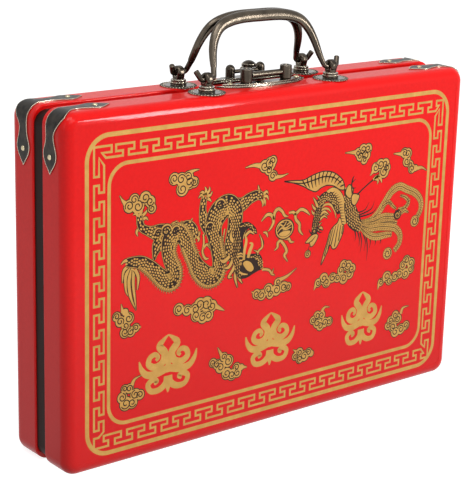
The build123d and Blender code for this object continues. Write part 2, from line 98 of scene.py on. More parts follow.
# %% [markdown]
# ## The camera
# The photographer stood in front of the case, well to its left and a little above it, with a long
# lens and the camera tipped a degree and a half. A camera in Blender looks down its own -Z, so the
# rotation is built from three directions: where the camera's back points, its right and its up.

# %% Camera
azimuth, elevation, roll = math.radians(-38.95), math.radians(15.97), math.radians(1.51)
look_at = Vector((-16.82, 0.0, 132.76)) * mm
distance = 1131.56 * mm
back = Vector((math.sin(azimuth) * math.cos(elevation), -math.cos(azimuth) * math.cos(elevation),
               math.sin(elevation)))
level_right = (-back).cross(Vector((0, 0, 1))).normalized()
level_up = level_right.cross(-back)
right = math.cos(roll) * level_right + math.sin(roll) * level_up
up = math.cos(roll) * level_up - math.sin(roll) * level_right
lens = bpy.data.cameras.new("camera")
lens.lens, lens.sensor_width, lens.sensor_fit = 112.44, 36.0, "AUTO"
lens.clip_start, lens.clip_end = 0.05, 50
camera = bpy.data.objects.new("camera", lens)
turn = Matrix((right, up, back)).transposed().to_4x4()
camera.matrix_world = Matrix.Translation(look_at + back * distance) @ turn
scene.collection.objects.link(camera)
scene.camera = camera
print("camera at", [round(v, 3) for v in camera.location])

# %% [markdown]
# ## Node trees in code
# Shader trees and geometry trees are both made of nodes joined by links. `add` puts in one node and
# fills its inputs: a value goes in as it is, another node or its output is linked. `maths` does the
# same for arithmetic, and `new_group` starts a group with its named inputs and outputs.

# %% Helpers for node trees
def add(tree, kind, inputs=None, **settings):
    made = tree.nodes.new(kind)
    for name, value in settings.items():
        setattr(made, name, value)
    for name, value in (inputs or {}).items():
        if isinstance(value, bpy.types.Node):
            value = value.outputs[0]
        if isinstance(value, bpy.types.NodeSocket):
            tree.links.new(value, made.inputs[name])
        else:
            made.inputs[name].default_value = value
    return made


def maths(tree, operation, *values, clamp=False):
    return add(tree, "ShaderNodeMath", dict(enumerate(values)), operation=operation, use_clamp=clamp)


def blank_tree(block):
    block.use_nodes = True
    block.node_tree.nodes.clear()
    return block.node_tree


def new_group(name, family, inputs, outputs):
    group = bpy.data.node_groups.new(name, family + "NodeTree")
    for label, kind, *start in inputs:
        socket = group.interface.new_socket(name=label, in_out="INPUT", socket_type="NodeSocket" + kind)
        if start:
            socket.default_value = start[0]
    for label, kind in outputs:
        group.interface.new_socket(name=label, in_out="OUTPUT", socket_type="NodeSocket" + kind)
    return group, add(group, "NodeGroupInput").outputs


print("helpers ready")

# %% [markdown]
# ## Backdrop and light
# The photograph has a clean white ground with hardly any shadow. World and ground are white where
# the camera, a mirror-like surface or glass looks at them, and dimmer where they only light the
# case. Light Path tells the two apart. The case stands with its rear half on the edge of a white
# table, so that its front half, which turns on hinges at the base, can hang down over the edge when
# the case is opened. Table and lower ground keep a faint shadow, because their glow is added to a
# plain matte grey.

# %% World and ground
white, grey = (1, 1, 1, 1), (0.5, 0.5, 0.5, 1)
world_light = 0.42
far_edge, drop = 6, 0.32


def looked_at(inside):
    ray = add(inside, "ShaderNodeLightPath").outputs
    direct = maths(inside, "MAXIMUM", ray["Is Camera Ray"], ray["Is Glossy Ray"])
    return maths(inside, "MAXIMUM", direct, ray["Is Transmission Ray"])


world = bpy.data.worlds.new("studio")
scene.world = world
tree = blank_tree(world)
glow = add(tree, "ShaderNodeBackground", {
    "Color": white, "Strength": maths(tree, "MAXIMUM", looked_at(tree), world_light)})
add(tree, "ShaderNodeOutputWorld", {"Surface": glow})

table_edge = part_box("rear_frame")[0].y
for name, front_edge, height, added_glow in (("table_top", table_edge, 0, 0.85),
                                             ("lower_ground", -far_edge, -drop, 1.0)):
    surface = bpy.data.materials.new(name)
    tree = blank_tree(surface)
    glow = add(tree, "ShaderNodeEmission", {
        "Color": white, "Strength": maths(tree, "MULTIPLY", looked_at(tree), added_glow)})
    matte = add(tree, "ShaderNodeBsdfDiffuse", {"Color": grey})
    add(tree, "ShaderNodeOutputMaterial", {
        "Surface": add(tree, "ShaderNodeAddShader", {0: matte, 1: glow})})
    flat = bpy.data.meshes.new(name)
    flat.from_pydata([(-far_edge, front_edge, height), (far_edge, front_edge, height),
                      (far_edge, far_edge, height), (-far_edge, far_edge, height)], [], [(0, 1, 2, 3)])
    flat.materials.append(surface)
    ground = bpy.data.objects.new(name, flat)
    scene.collection.objects.link(ground)
    ground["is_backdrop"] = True
print("table edge at", round(table_edge, 4))

# %% [markdown]
# ## Lamps
# Four soft boxes: a broad one high in front, which lights the top of the red more than its foot, one
# above for the top face, a narrow one to the right whose mirror image runs along the upper left edge
# as a bright streak, and a weak one from the left for the narrow end of the case. Each is a name, a
# place, a point it is aimed at, its width and height in metres and its power in watts.

# %% Soft boxes
for name, place, aim, width, height, power in (
        ("front_box", (-0.3, -1.35, 1.5), (0, 0, 0.2), 1.3, 0.8, 8),
        ("top_box", (-0.5, -0.4, 1.7), (-0.05, 0, 0.2), 0.9, 0.7, 10),
        ("edge_box", (0.86, -1.36, 0.56), (-0.14, 0, 0.25), 0.2, 0.8, 19),
        ("left_box", (-2.2, -0.6, 0.9), (-0.1, 0, 0.15), 0.8, 1.4, 3)):
    lamp = bpy.data.lights.new(name, "AREA")
    lamp.shape, lamp.size, lamp.size_y, lamp.energy = "RECTANGLE", width, height, power
    holder = bpy.data.objects.new(name, lamp)
    turn = (Vector(aim) - Vector(place)).to_track_quat("-Z", "Y").to_matrix().to_4x4()
    holder.matrix_world = Matrix.Translation(place) @ turn
    scene.collection.objects.link(holder)

# %% [markdown]
# ## Shared surface effects
# Leather grain, rubbed edges and blotchy tone turn up in more than one finish. Each is a shader
# node group: it is built once, and every material that uses it sets its own values. The rubbed
# edge compares the true normal with the one of a Bevel node, which differ only near an edge.

# %% Shader groups
def effect(name, inputs, *outputs):
    return new_group(name, "Shader", [(label, "Float", start) for label, start in inputs.items()],
                     [(label, "Float") for label in outputs])


def noise(tree, scale, detail):
    place = add(tree, "ShaderNodeTexCoord").outputs["Object"]
    return add(tree, "ShaderNodeTexNoise", {"Vector": place, "Scale": scale, "Detail": detail})


grain, given = effect("leather_grain", {"Pebble": 900.0, "Crease": 260.0}, "Height", "Tone")
place = add(grain, "ShaderNodeTexCoord").outputs["Object"]
pebble = add(grain, "ShaderNodeTexVoronoi", {"Vector": place, "Scale": given["Pebble"]},
             feature="SMOOTH_F1")
crease = noise(grain, given["Crease"], 4.0)
height = maths(grain, "MULTIPLY_ADD", crease, 0.6, pebble.outputs["Distance"])
add(grain, "NodeGroupOutput", {"Height": height, "Tone": crease})

edge, given = effect("rubbed_edge", {"Reach": 0.0008, "Break-up": 300.0, "Start": 0.03, "End": 0.16},
                     "Mask")
rounded = add(edge, "ShaderNodeBevel", {"Radius": given["Reach"]}, samples=6)
true = add(edge, "ShaderNodeNewGeometry").outputs["Normal"]
same = add(edge, "ShaderNodeVectorMath", {0: rounded, 1: true}, operation="DOT_PRODUCT")
turned_away = maths(edge, "SUBTRACT", 1.0, same.outputs["Value"])
uneven = maths(edge, "MULTIPLY_ADD", noise(edge, given["Break-up"], 3.0), 0.9, 0.45)
broken = maths(edge, "MULTIPLY", turned_away, uneven)
mask = add(edge, "ShaderNodeMapRange", {0: broken, 1: given["Start"], 2: given["End"]})
add(edge, "NodeGroupOutput", {"Mask": mask})

blotch, given = effect("blotchy_tone", {"Size": 20.0, "Contrast": 1.0}, "Mask")
centred = maths(blotch, "SUBTRACT", noise(blotch, given["Size"], 5.0), 0.5)
spread = maths(blotch, "MULTIPLY_ADD", centred, given["Contrast"], 0.5, clamp=True)
add(blotch, "NodeGroupOutput", {"Mask": spread})
print("effects", [g.name for g in bpy.data.node_groups])

# %% [markdown]
# ## Starting a finish
# Every finish ends in one Principled shader, which `cover` adds last. The other helpers place an
# effect with its own values, mix two colours or two levels by a mask, and turn a height into a
# bumped normal. Metals also get a Bevel node under the bump, which rounds the sharp corners of the
# solids as the light sees them.

# %% Material helpers
def finish(name):
    block = bpy.data.materials.new(name)
    return block, blank_tree(block)


def cover(inside, colour, roughness, **sockets):
    inputs = {label.replace("_", " "): value for label, value in sockets.items()}
    skin = add(inside, "ShaderNodeBsdfPrincipled", {"Base Color": colour, "Roughness": roughness, **inputs})
    add(inside, "ShaderNodeOutputMaterial", {"Surface": skin})


def use(inside, group, **values):
    placed = inside.nodes.new("ShaderNodeGroup")
    placed.node_tree = group
    for label, value in values.items():
        placed.inputs[label].default_value = value
    return placed.outputs


def tint(inside, mask, low, high):
    ends = [(*colour, 1.0) if isinstance(colour, tuple) else colour for colour in (low, high)]
    return add(inside, "ShaderNodeMix", {0: mask, 6: ends[0], 7: ends[1]}, data_type="RGBA").outputs[2]


def level(inside, mask, low, high):
    return add(inside, "ShaderNodeMapRange", {0: mask, 3: low, 4: high})


def relief(inside, height, depth, **under):
    return add(inside, "ShaderNodeBump", {"Height": height, "Distance": depth, "Strength": 1.0, **under})


print("material helpers ready")

# %% [markdown]
# ## Red leatherette
# The trays are covered with a bright red leatherette under a hard clear gloss. Its grain is very
# fine and its colour deepens in soft blotches. Painted shade darkens the red towards the foot of
# the case.

# %% Red covering
# Painted shade: below this height the red is darkened towards the foot of the case, by up to this share.
painted_shade_height, painted_shade_strength = 0.16, 0.68
red, tree = finish("red_leatherette")
tone = use(tree, blotch, Size=14.0, Contrast=1.4)
fine = use(tree, grain, Pebble=1500.0, Crease=420.0)
body_red = tint(tree, tone[0], (0.80, 0.006, 0.004), (0.70, 0.004, 0.003))
grained = tint(tree, fine["Tone"], body_red, (0.62, 0.003, 0.003))
place = add(tree, "ShaderNodeTexCoord").outputs["Object"]
height = add(tree, "ShaderNodeSeparateXYZ", {0: place}).outputs["Z"]
# Painted shade: the mask that darkens the red towards the foot of the case.
painted_shade_at_foot = add(tree, "ShaderNodeMapRange", {0: height, 1: painted_shade_height, 2: 0.0, 3: 0.0, 4: painted_shade_strength})
cover(tree, tint(tree, painted_shade_at_foot, grained, (0.45, 0.002, 0.002)), level(tree, fine["Tone"], 0.30, 0.44),
      Normal=relief(tree, fine["Height"], 0.00003), Specular_IOR_Level=0.04, Coat_Weight=0.25,
      Coat_Roughness=0.07)
print(red.name)

# %% [markdown]
# ## Black lacquer and flock
# The rail between the trays is wood under satin black lacquer. The wells and the divider are lined
# with flock, short fibres that show as a soft sheen and a fuzzy, uneven black.

# %% Lacquer and flock
lacquer, tree = finish("black_lacquer")
tone = use(tree, blotch, Size=60.0, Contrast=1.6)
cover(tree, tint(tree, tone[0], (0.014, 0.005, 0.004), (0.030, 0.011, 0.009)),
      level(tree, tone[0], 0.34, 0.52), Normal=relief(tree, noise(tree, 500.0, 3.0), 0.00002),
      Specular_IOR_Level=0.05)

flock, tree = finish("black_flock")
fibre = use(tree, grain, Pebble=2600.0, Crease=900.0)
tone = use(tree, blotch, Size=45.0, Contrast=2.0)
nap = tint(tree, tone[0], (0.012, 0.012, 0.013), (0.030, 0.028, 0.030))
cover(tree, tint(tree, fibre["Tone"], nap, (0.045, 0.043, 0.045)), 0.95,
      Normal=relief(tree, fibre["Height"], 0.00025), Specular_IOR_Level=0.1, Sheen_Weight=0.15,
      Sheen_Roughness=0.5)
print(lacquer.name, flock.name)

# %% [markdown]
# ## The metals
# Three metals: the straps are blackened and rubbed bright along their edges, the handles and the
# latch are an antique bronze that hands have polished on its high parts, and the nail heads are
# pale brass. All three mix a dark tarnish with bare metal by masks, so they differ in values only.

# %% Metal finishes
def old_metal(name, colours, blotches, rubbing, roughness, pores, corner):
    block, inside = finish(name)
    dark, mid, bare = colours
    least, most, polished = roughness
    pore_scale, pore_depth = pores
    patches = use(inside, blotch, **blotches)[0]
    rubbed = use(inside, edge, **rubbing)[0]
    tarnish = tint(inside, patches, dark, mid)
    shine = add(inside, "ShaderNodeMix", {0: rubbed, 2: level(inside, patches, least, most), 3: polished})
    soft = add(inside, "ShaderNodeBevel", {"Radius": corner}, samples=4)
    cover(inside, tint(inside, rubbed, tarnish, bare), shine, Metallic=1.0,
          Normal=relief(inside, noise(inside, pore_scale, 4.0), pore_depth, Normal=soft))
    return block


strap_black = old_metal(
    "blackened_strap", ((0.009, 0.008, 0.007), (0.045, 0.039, 0.032), (0.85, 0.76, 0.60)),
    {"Size": 240.0, "Contrast": 2.6}, {"Reach": 0.0009, "Break-up": 260.0, "Start": 0.01, "End": 0.07},
    (0.34, 0.5, 0.25), (700.0, 0.00004), 0.0003)
bronze = old_metal(
    "antique_bronze", ((0.020, 0.016, 0.013), (0.135, 0.110, 0.083), (0.88, 0.79, 0.64)),
    {"Size": 60.0, "Contrast": 1.6}, {"Reach": 0.0009, "Break-up": 380.0, "Start": 0.04, "End": 0.25},
    (0.16, 0.30, 0.12), (520.0, 0.00006), 0.0005)
brass = old_metal(
    "pale_brass", ((0.34, 0.28, 0.17), (0.66, 0.57, 0.38), (0.95, 0.88, 0.68)),
    {"Size": 200.0, "Contrast": 1.6}, {"Reach": 0.0006, "Break-up": 500.0, "Start": 0.03, "End": 0.3},
    (0.22, 0.34, 0.16), (900.0, 0.00003), 0.0004)
print(strap_black.name, bronze.name, brass.name)

# %% [markdown]
# ## Putting the finishes on the solids
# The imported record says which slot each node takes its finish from, so one table from slot to
# material dresses all of them.

# %% Dress the nodes
finish_of = {"red_covered_board": red, "black_lacquer": lacquer, "flock_lining": flock,
             "blackened_strap_metal": strap_black, "antique_bronze": bronze, "pale_brass": brass}
for row in frame["record"]["subparts"]:
    solid = frame["nodes"][row["node"]]
    solid.data.materials.clear()
    solid.data.materials.append(finish_of[row["material_slot"]])

# %% [markdown]
# ## Geometry trees that are run once
# Shapes that repeat are set out by Geometry Nodes. All these trees take a shape and a material and
# end in the same two nodes, which make the copies real and coat them. A tree does nothing until a
# modifier runs it, so `run_tree` puts it on a seed mesh, sets its inputs by their identifiers and
# keeps the result as a plain mesh. `keep_piece` gives a finished mesh its object and body and hides
# the solids it stands for.

# %% Run a tree, keep a piece
def geometry_tree(name, *inputs):
    return new_group(name, "Geometry", [("Geometry", "Geometry"), *inputs, ("Finish", "Material")],
                     [("Geometry", "Geometry")])


def close_tree(tree, shape, coat):
    real = add(tree, "GeometryNodeRealizeInstances", {"Geometry": shape})
    coated = add(tree, "GeometryNodeSetMaterial", {"Geometry": real, "Material": coat})
    add(tree, "NodeGroupOutput", {"Geometry": coated})


def run_tree(tree, seed_mesh, values):
    seed = bpy.data.objects.new("seed", seed_mesh)
    scene.collection.objects.link(seed)
    modifier = seed.modifiers.new("tree", "NODES")
    modifier.node_group = tree
    for label, value in values.items():
        modifier[tree.interface.items_tree[label].identifier] = value
    shape = bpy.data.meshes.new_from_object(seed.evaluated_get(bpy.context.evaluated_depsgraph_get()))
    bpy.data.objects.remove(seed)
    return shape


def keep_piece(name, mesh, body, slot, *stands_for):
    piece = bpy.data.objects.new(name, mesh)
    scene.collection.objects.link(piece)
    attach(piece, body)
    if stands_for:
        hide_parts(*stands_for)
    print(name, len(mesh.polygons), "faces")


def joined(name, meshes, coat):
    corners, faces = [], []
    for mesh in meshes:
        start = len(corners)
        corners += [vertex.co.copy() for vertex in mesh.vertices]
        faces += [[start + i for i in face.vertices] for face in mesh.polygons]
    whole_mesh = bpy.data.meshes.new(name)
    whole_mesh.from_pydata(corners, [], faces)
    whole_mesh.materials.append(coat)
    return whole_mesh


print("tree helpers ready")

# %% [markdown]
# ## Rosettes under the handles
# Each eye post stands on a cast rosette with a ring of small ribs round its rim: a circle of
# points, one small rib on each, turned to face outwards. The plate is a stack of low cones. The
# tree works round the origin, and each rosette is then moved to where the solid it replaces stands.

# %% Rosettes
rib_count = 34
rosette_tree, given = geometry_tree("ribbed_rosette", ("Radius", "Float", 13.4 * mm),
                                    ("Thickness", "Float", 1.0 * mm),
                                    ("Ribs", "Int", rib_count))


def radii(share):
    return maths(rosette_tree, "MULTIPLY", given["Radius"], share)


def thicknesses(share):
    return maths(rosette_tree, "MULTIPLY", given["Thickness"], share)


def raised(shape, share):
    rise = add(rosette_tree, "ShaderNodeCombineXYZ", {2: thicknesses(share)})
    return add(rosette_tree, "GeometryNodeTransform", {"Geometry": shape, "Translation": rise})


def low_cone(bottom, top, tall, lifted):
    cone = add(rosette_tree, "GeometryNodeMeshCone", {"Vertices": 96, "Radius Bottom": radii(bottom),
               "Radius Top": radii(top), "Depth": thicknesses(tall)}, fill_type="NGON")
    return raised(cone, lifted)


plate = low_cone(0.965, 0.93, 0.42, 0.0)
dish = low_cone(0.80, 0.74, 0.40, 0.30)
rim = add(rosette_tree, "GeometryNodeMeshCircle", {"Vertices": given["Ribs"], "Radius": radii(0.905)})
rib = add(rosette_tree, "GeometryNodeMeshUVSphere", {"Segments": 10, "Rings": 6, "Radius": 1.0})
outward = add(rosette_tree, "FunctionNodeAlignEulerToVector", {
    "Vector": add(rosette_tree, "GeometryNodeInputPosition")}, axis="X")
rib_size = add(rosette_tree, "ShaderNodeCombineXYZ", {
    0: radii(0.094), 1: radii(0.074), 2: thicknesses(0.62)})
ribs = add(rosette_tree, "GeometryNodeInstanceOnPoints", {
    "Points": rim, "Instance": rib, "Rotation": outward, "Scale": rib_size})
whole = rosette_tree.nodes.new("GeometryNodeJoinGeometry")
for part in (plate, dish, raised(ribs, 0.38)):
    rosette_tree.links.new(part.outputs[0], whole.inputs[0])
close_tree(rosette_tree, whole, given["Finish"])

for side in ("front", "rear"):
    pair = []
    for hand in ("left", "right"):
        low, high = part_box(f"{side}_{hand}_rosette")
        rosette = run_tree(rosette_tree, bpy.data.meshes.new("seed"), {
            "Radius": (high.x - low.x) / 2, "Thickness": high.z - low.z, "Ribs": rib_count,
            "Finish": bronze})
        rosette.transform(Matrix.Translation(((low.x + high.x) / 2, (low.y + high.y) / 2, low.z)))
        pair.append(rosette)
    mesh = joined(f"{side}_rosettes", pair, bronze)
    mesh.polygons.foreach_set("use_smooth", [len(face.vertices) < 5 for face in mesh.polygons])
    keep_piece(f"{side}_rosettes", mesh, f"{side}_half", "antique_bronze",
               f"{side}_left_rosette", f"{side}_right_rosette")

# %% [markdown]
# ## The print on the front
# The front is printed in matte gold and black. A print is a film of ink, so each colour is a flat
# mesh laid in the shallow step that the front panel leaves for it. The drawing is done in
# millimetres on the face, x to the right and z up. Shapes laid later lie a hair in front of the
# earlier ones, as a painter would lay them, so every call names its layer.

# %% Inks
film_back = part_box("front_panel")[0].y
film_step = 0.0015 * mm
gold, tree = finish("gold_ink")
tone = use(tree, blotch, Size=160.0, Contrast=2.4)
speck = use(tree, grain, Pebble=1500.0, Crease=900.0)
leaf = tint(tree, tone[0], (0.40, 0.215, 0.050), (0.56, 0.335, 0.090))
cover(tree, tint(tree, speck["Tone"], leaf, (0.42, 0.22, 0.048)), level(tree, tone[0], 0.34, 0.52),
      Normal=relief(tree, speck["Height"], 0.00002), Metallic=0.3, Specular_IOR_Level=0.2)
black, tree = finish("black_ink")
tone = use(tree, blotch, Size=220.0, Contrast=2.0)
cover(tree, tint(tree, tone[0], (0.008, 0.004, 0.003), (0.030, 0.012, 0.007)),
      level(tree, tone[0], 0.4, 0.6), Specular_IOR_Level=0.12)


def new_ink(coat):
    return {"corners": [], "faces": [], "coat": coat}


def place_on_face(x, z, layer):
    return (x * mm, film_back - (layer + 1) * film_step, z * mm)


def lay(ink, flat, faces, layer):
    """Faces of flat points, turned so that they all look out of the front."""
    start = len(ink["corners"])
    ink["corners"] += [place_on_face(x, z, layer) for x, z in flat]
    for face in faces:
        ring = face[1:] + face[:1]
        area = sum(flat[a][0] * flat[b][1] - flat[b][0] * flat[a][1] for a, b in zip(face, ring))
        ink["faces"].append([start + i for i in (face if area > 0 else face[::-1])])


def ink_mesh(name, ink):
    film = bpy.data.meshes.new(name)
    film.from_pydata(ink["corners"], [], ink["faces"])
    film.materials.append(ink["coat"])
    return film


gold_ink, black_ink = new_ink(gold), new_ink(black)

# %% [markdown]
# Brush lines and filled shapes both start from a few drawn points. A Catmull-Rom curve runs
# smoothly through all of them. A brush line also carries a half width at every point, so it swells
# and tapers, and a lined stroke is a wide black one with a narrower gold one on top.

# %% Brush lines and shapes
def smooth(points, steps=6, closed=False):
    """A Catmull-Rom curve through the points, in a few straight steps from each to the next."""
    count, line = len(points), []
    for i in range(count if closed else count - 1):
        near = [points[(i + k) % count if closed else min(max(i + k, 0), count - 1)] for k in (-1, 0, 1, 2)]
        for step in range(steps):
            t = step / steps
            line.append(tuple(0.5 * (2 * b + (c - a) * t + (2 * a - 5 * b + 4 * c - d) * t * t
                                     + (3 * b - a - 3 * c + d) * t ** 3) for a, b, c, d in zip(*near)))
    return line if closed else line + [tuple(points[-1])]


def ribbon(ink, line, layer, spare=0.0, closed=False):
    """A flat strip along a line of (x, z, half width) points."""
    count, sides = len(line), []
    for i, (x, z, half) in enumerate(line):
        before = line[i - 1] if closed else line[max(i - 1, 0)]
        after = line[(i + 1) % count] if closed else line[min(i + 1, count - 1)]
        reach = Vector((after[0] - before[0], after[1] - before[1])).normalized() * (half + spare)
        sides += [(x - reach.y, z + reach.x), (x + reach.y, z - reach.x)]
    lay(ink, sides, [[2 * i, 2 * i + 1, (2 * i + 3) % (2 * count), (2 * i + 2) % (2 * count)]
                     for i in range(count if closed else count - 1)], layer)


def stroke(ink, points, layer):
    ribbon(ink, smooth(points), layer)


def widened(points, *halves):
    return [(*point, half) for point, half in zip(points, halves)]


def lined(points, layer, line_width=0.6):
    path = smooth(points)
    ribbon(black_ink, path, layer, line_width)
    ribbon(gold_ink, path, layer + 1)


def patch(ink, outline, layer):
    edge_points = smooth(outline, 5, closed=True)
    loop = [Vector((x, z, 0)) for x, z in edge_points]
    lay(ink, edge_points, [list(t) for t in geometry.tessellate_polygon([loop])], layer)
    return edge_points


def outlined(outline, layer, line_width=0.45):
    edge_points = patch(gold_ink, outline, layer)
    ribbon(black_ink, [(*p, line_width) for p in edge_points + edge_points[:1]], layer + 1)


def ring_points(x, z, across, tall, sides):
    return [(x + across * math.cos(2 * math.pi * i / sides), z + tall * math.sin(2 * math.pi * i / sides))
            for i in range(sides)]


def disc(ink, x, z, radius, layer, sides=20):
    lay(ink, ring_points(x, z, radius, radius, sides), [list(range(sides))], layer)


def curl(ink, x, z, radius, start, way, layer, half=0.42):
    """A brush line that winds inwards round a centre, from an angle, one way or the other."""
    turns = [(radius * (0.82 - 0.62 * i / 12), start + way * 2.6 * math.pi * i / 12) for i in range(13)]
    stroke(ink, [(x + r * math.cos(a), z + r * math.sin(a), half) for r, a in turns], layer)


print("brushes ready")

# %% [markdown]
# ## Two gold bands and the key border
# Two plain bands with round corners frame the picture, and a key pattern runs between them. Its
# unit repeats along each side, so one unit is drawn with mitred corners and Geometry Nodes repeat
# it from a start, by a step, a number of times. The four corner pieces are drawn one by one.

# %% Bands
def band(x_reach, z_low, z_high, radius, half):
    line = []
    for cx, cz, start in ((x_reach - radius, z_high - radius, 0), (radius - x_reach, z_high - radius, 90),
                          (radius - x_reach, z_low + radius, 180), (x_reach - radius, z_low + radius, 270)):
        for step in range(13):
            angle = math.radians(start + 7.5 * step)
            line.append((cx + radius * math.cos(angle), cz + radius * math.sin(angle), half))
    ribbon(gold_ink, line, 0, closed=True)


band(167.9, 12.0, 236.8, 17.5, 1.6)
band(150.4, 31.2, 216.3, 15.0, 1.35)
print("bands", len(gold_ink["faces"]), "faces")

# %% Key border
key_half, sharpest = 0.8, 0.45
corner_layer = 2


def key_line(ink, points, layer=0):
    ways = [(Vector(b) - Vector(a)).normalized() for a, b in zip(points, points[1:])]
    sides = []
    for i, (x, z) in enumerate(points):
        first, second = ways[max(i - 1, 0)], ways[min(i, len(ways) - 1)]
        square = Vector((-first.y - second.y, first.x + second.x))
        mitre = square / max(1 + first.dot(second), sharpest) * key_half
        sides += [(x + mitre.x, z + mitre.y), (x - mitre.x, z - mitre.y)]
    lay(ink, sides, [[2 * i, 2 * i + 1, 2 * i + 3, 2 * i + 2] for i in range(len(points) - 1)], layer)


def key_unit(pitch, height, run, outward):
    ink, gap = new_ink(gold), key_half / pitch
    steps = [
        (-gap, 1), (0.73, 1), (0.73, 0.47), (0.51, 0.47), (0.51, 0), (1.25, 0), (1.25, 0.47), (1.0, 0.47),
        (1.0, 1 - key_half / height)]
    key_line(ink, [(u * pitch * run[0] + v * height * outward[0],
                    u * pitch * run[1] + v * height * outward[1]) for u, v in steps])
    return ink_mesh("key_unit", ink)


key_tree, given = geometry_tree("repeat_key", ("Count", "Int"), ("Start", "Vector"), ("Step", "Vector"))
row = add(key_tree, "GeometryNodeMeshLine", {"Count": given["Count"], "Start Location": given["Start"],
                                             "Offset": given["Step"]}, mode="OFFSET")
keys = add(key_tree, "GeometryNodeInstanceOnPoints", {"Points": row, "Instance": given["Geometry"]})
close_tree(key_tree, keys, given["Finish"])

outer_x, inner_x, outer_top, inner_top, outer_low, inner_low = 162.3, 154.4, 229.4, 221.5, 17.2, 25.4
runs = []
for start, run, outward, pitch, height, count in (
        ((-145, inner_top), (1, 0), (0, 1), 20.0, outer_top - inner_top, 14),
        ((-145, inner_low), (1, 0), (0, -1), 20.0, inner_low - outer_low, 14),
        ((-inner_x, 203.5), (0, -1), (-1, 0), 22.35, outer_x - inner_x, 7),
        ((inner_x, 205.0), (0, -1), (1, 0), 22.35, outer_x - inner_x, 7)):
    runs.append(run_tree(key_tree, key_unit(pitch, height, run, outward), {
        "Count": count, "Start": (start[0] * mm, 0, start[1] * mm),
        "Step": (run[0] * pitch * mm, 0, run[1] * pitch * mm), "Finish": gold}))
for corner in (
        [(-162.3 + key_half, 203.5), (-158.4, 203.5), (-158.4, 198.5), (-154.4, 198.5), (-154.4, 216.5),
         (-158.4, 222), (-158.4, 209.5), (-162.3, 209.5), (-162.3, 229.4), (-148.5, 229.4), (-148.5, 225),
         (-156, 225), (-153, 221.5), (-139.5, 221.5), (-139.5, 225), (-145, 225), (-145, 229.4 - key_half)],
        [(135 - key_half, 229.4), (149.4, 229.4), (149.4, 225), (146, 225), (146, 221.5), (154.5, 221.5),
         (157.8, 225.5), (155, 225.5), (155, 229.4), (162.3, 229.4), (162.3, 210), (158.5, 210),
         (158.5, 222.5), (154.4, 217.5), (154.4, 199.8), (158.5, 199.8), (158.5, 205),
         (162.3 - key_half, 205)],
        [(-162.3, 47.05 + key_half), (-162.3, 30.5), (-158.4, 30.5), (-158.4, 36.5), (-154.4, 36.5),
         (-154.4, 28.5), (-158.5, 25), (-162.3, 25), (-162.3, 17.2), (-150.5, 17.2), (-150.5, 21.3),
         (-154.3, 21.3), (-154.3, 25.4), (-139.8, 25.4), (-139.8, 21.3), (-145, 21.3),
         (-145, 17.2 + key_half)],
        [(135 - key_half, 17.2), (149.4, 17.2), (149.4, 21.3), (146, 21.3), (146, 25.4), (154.5, 25.4),
         (157.8, 21.3), (155, 21.3), (155, 17.2), (162.3, 17.2), (162.3, 32), (158.5, 32), (158.5, 26.5),
         (154.4, 30), (154.4, 39), (162.3, 39), (162.3, 48.55 + key_half)]):
    key_line(gold_ink, corner, corner_layer)
keep_piece("key_border", joined("key_border", runs, gold), "front_half", None)

# %% [markdown]
# ## Clouds
# The clouds are heaps of round lobes with a curl in each and a wispy tail. Each cloud is a list of
# lobes (x, z, radius) and tails. All the black rims are laid first and the gold lobes over them, so
# only the outer contour of the heap shows, and the curls are drawn last. Every second curl winds the
# other way.

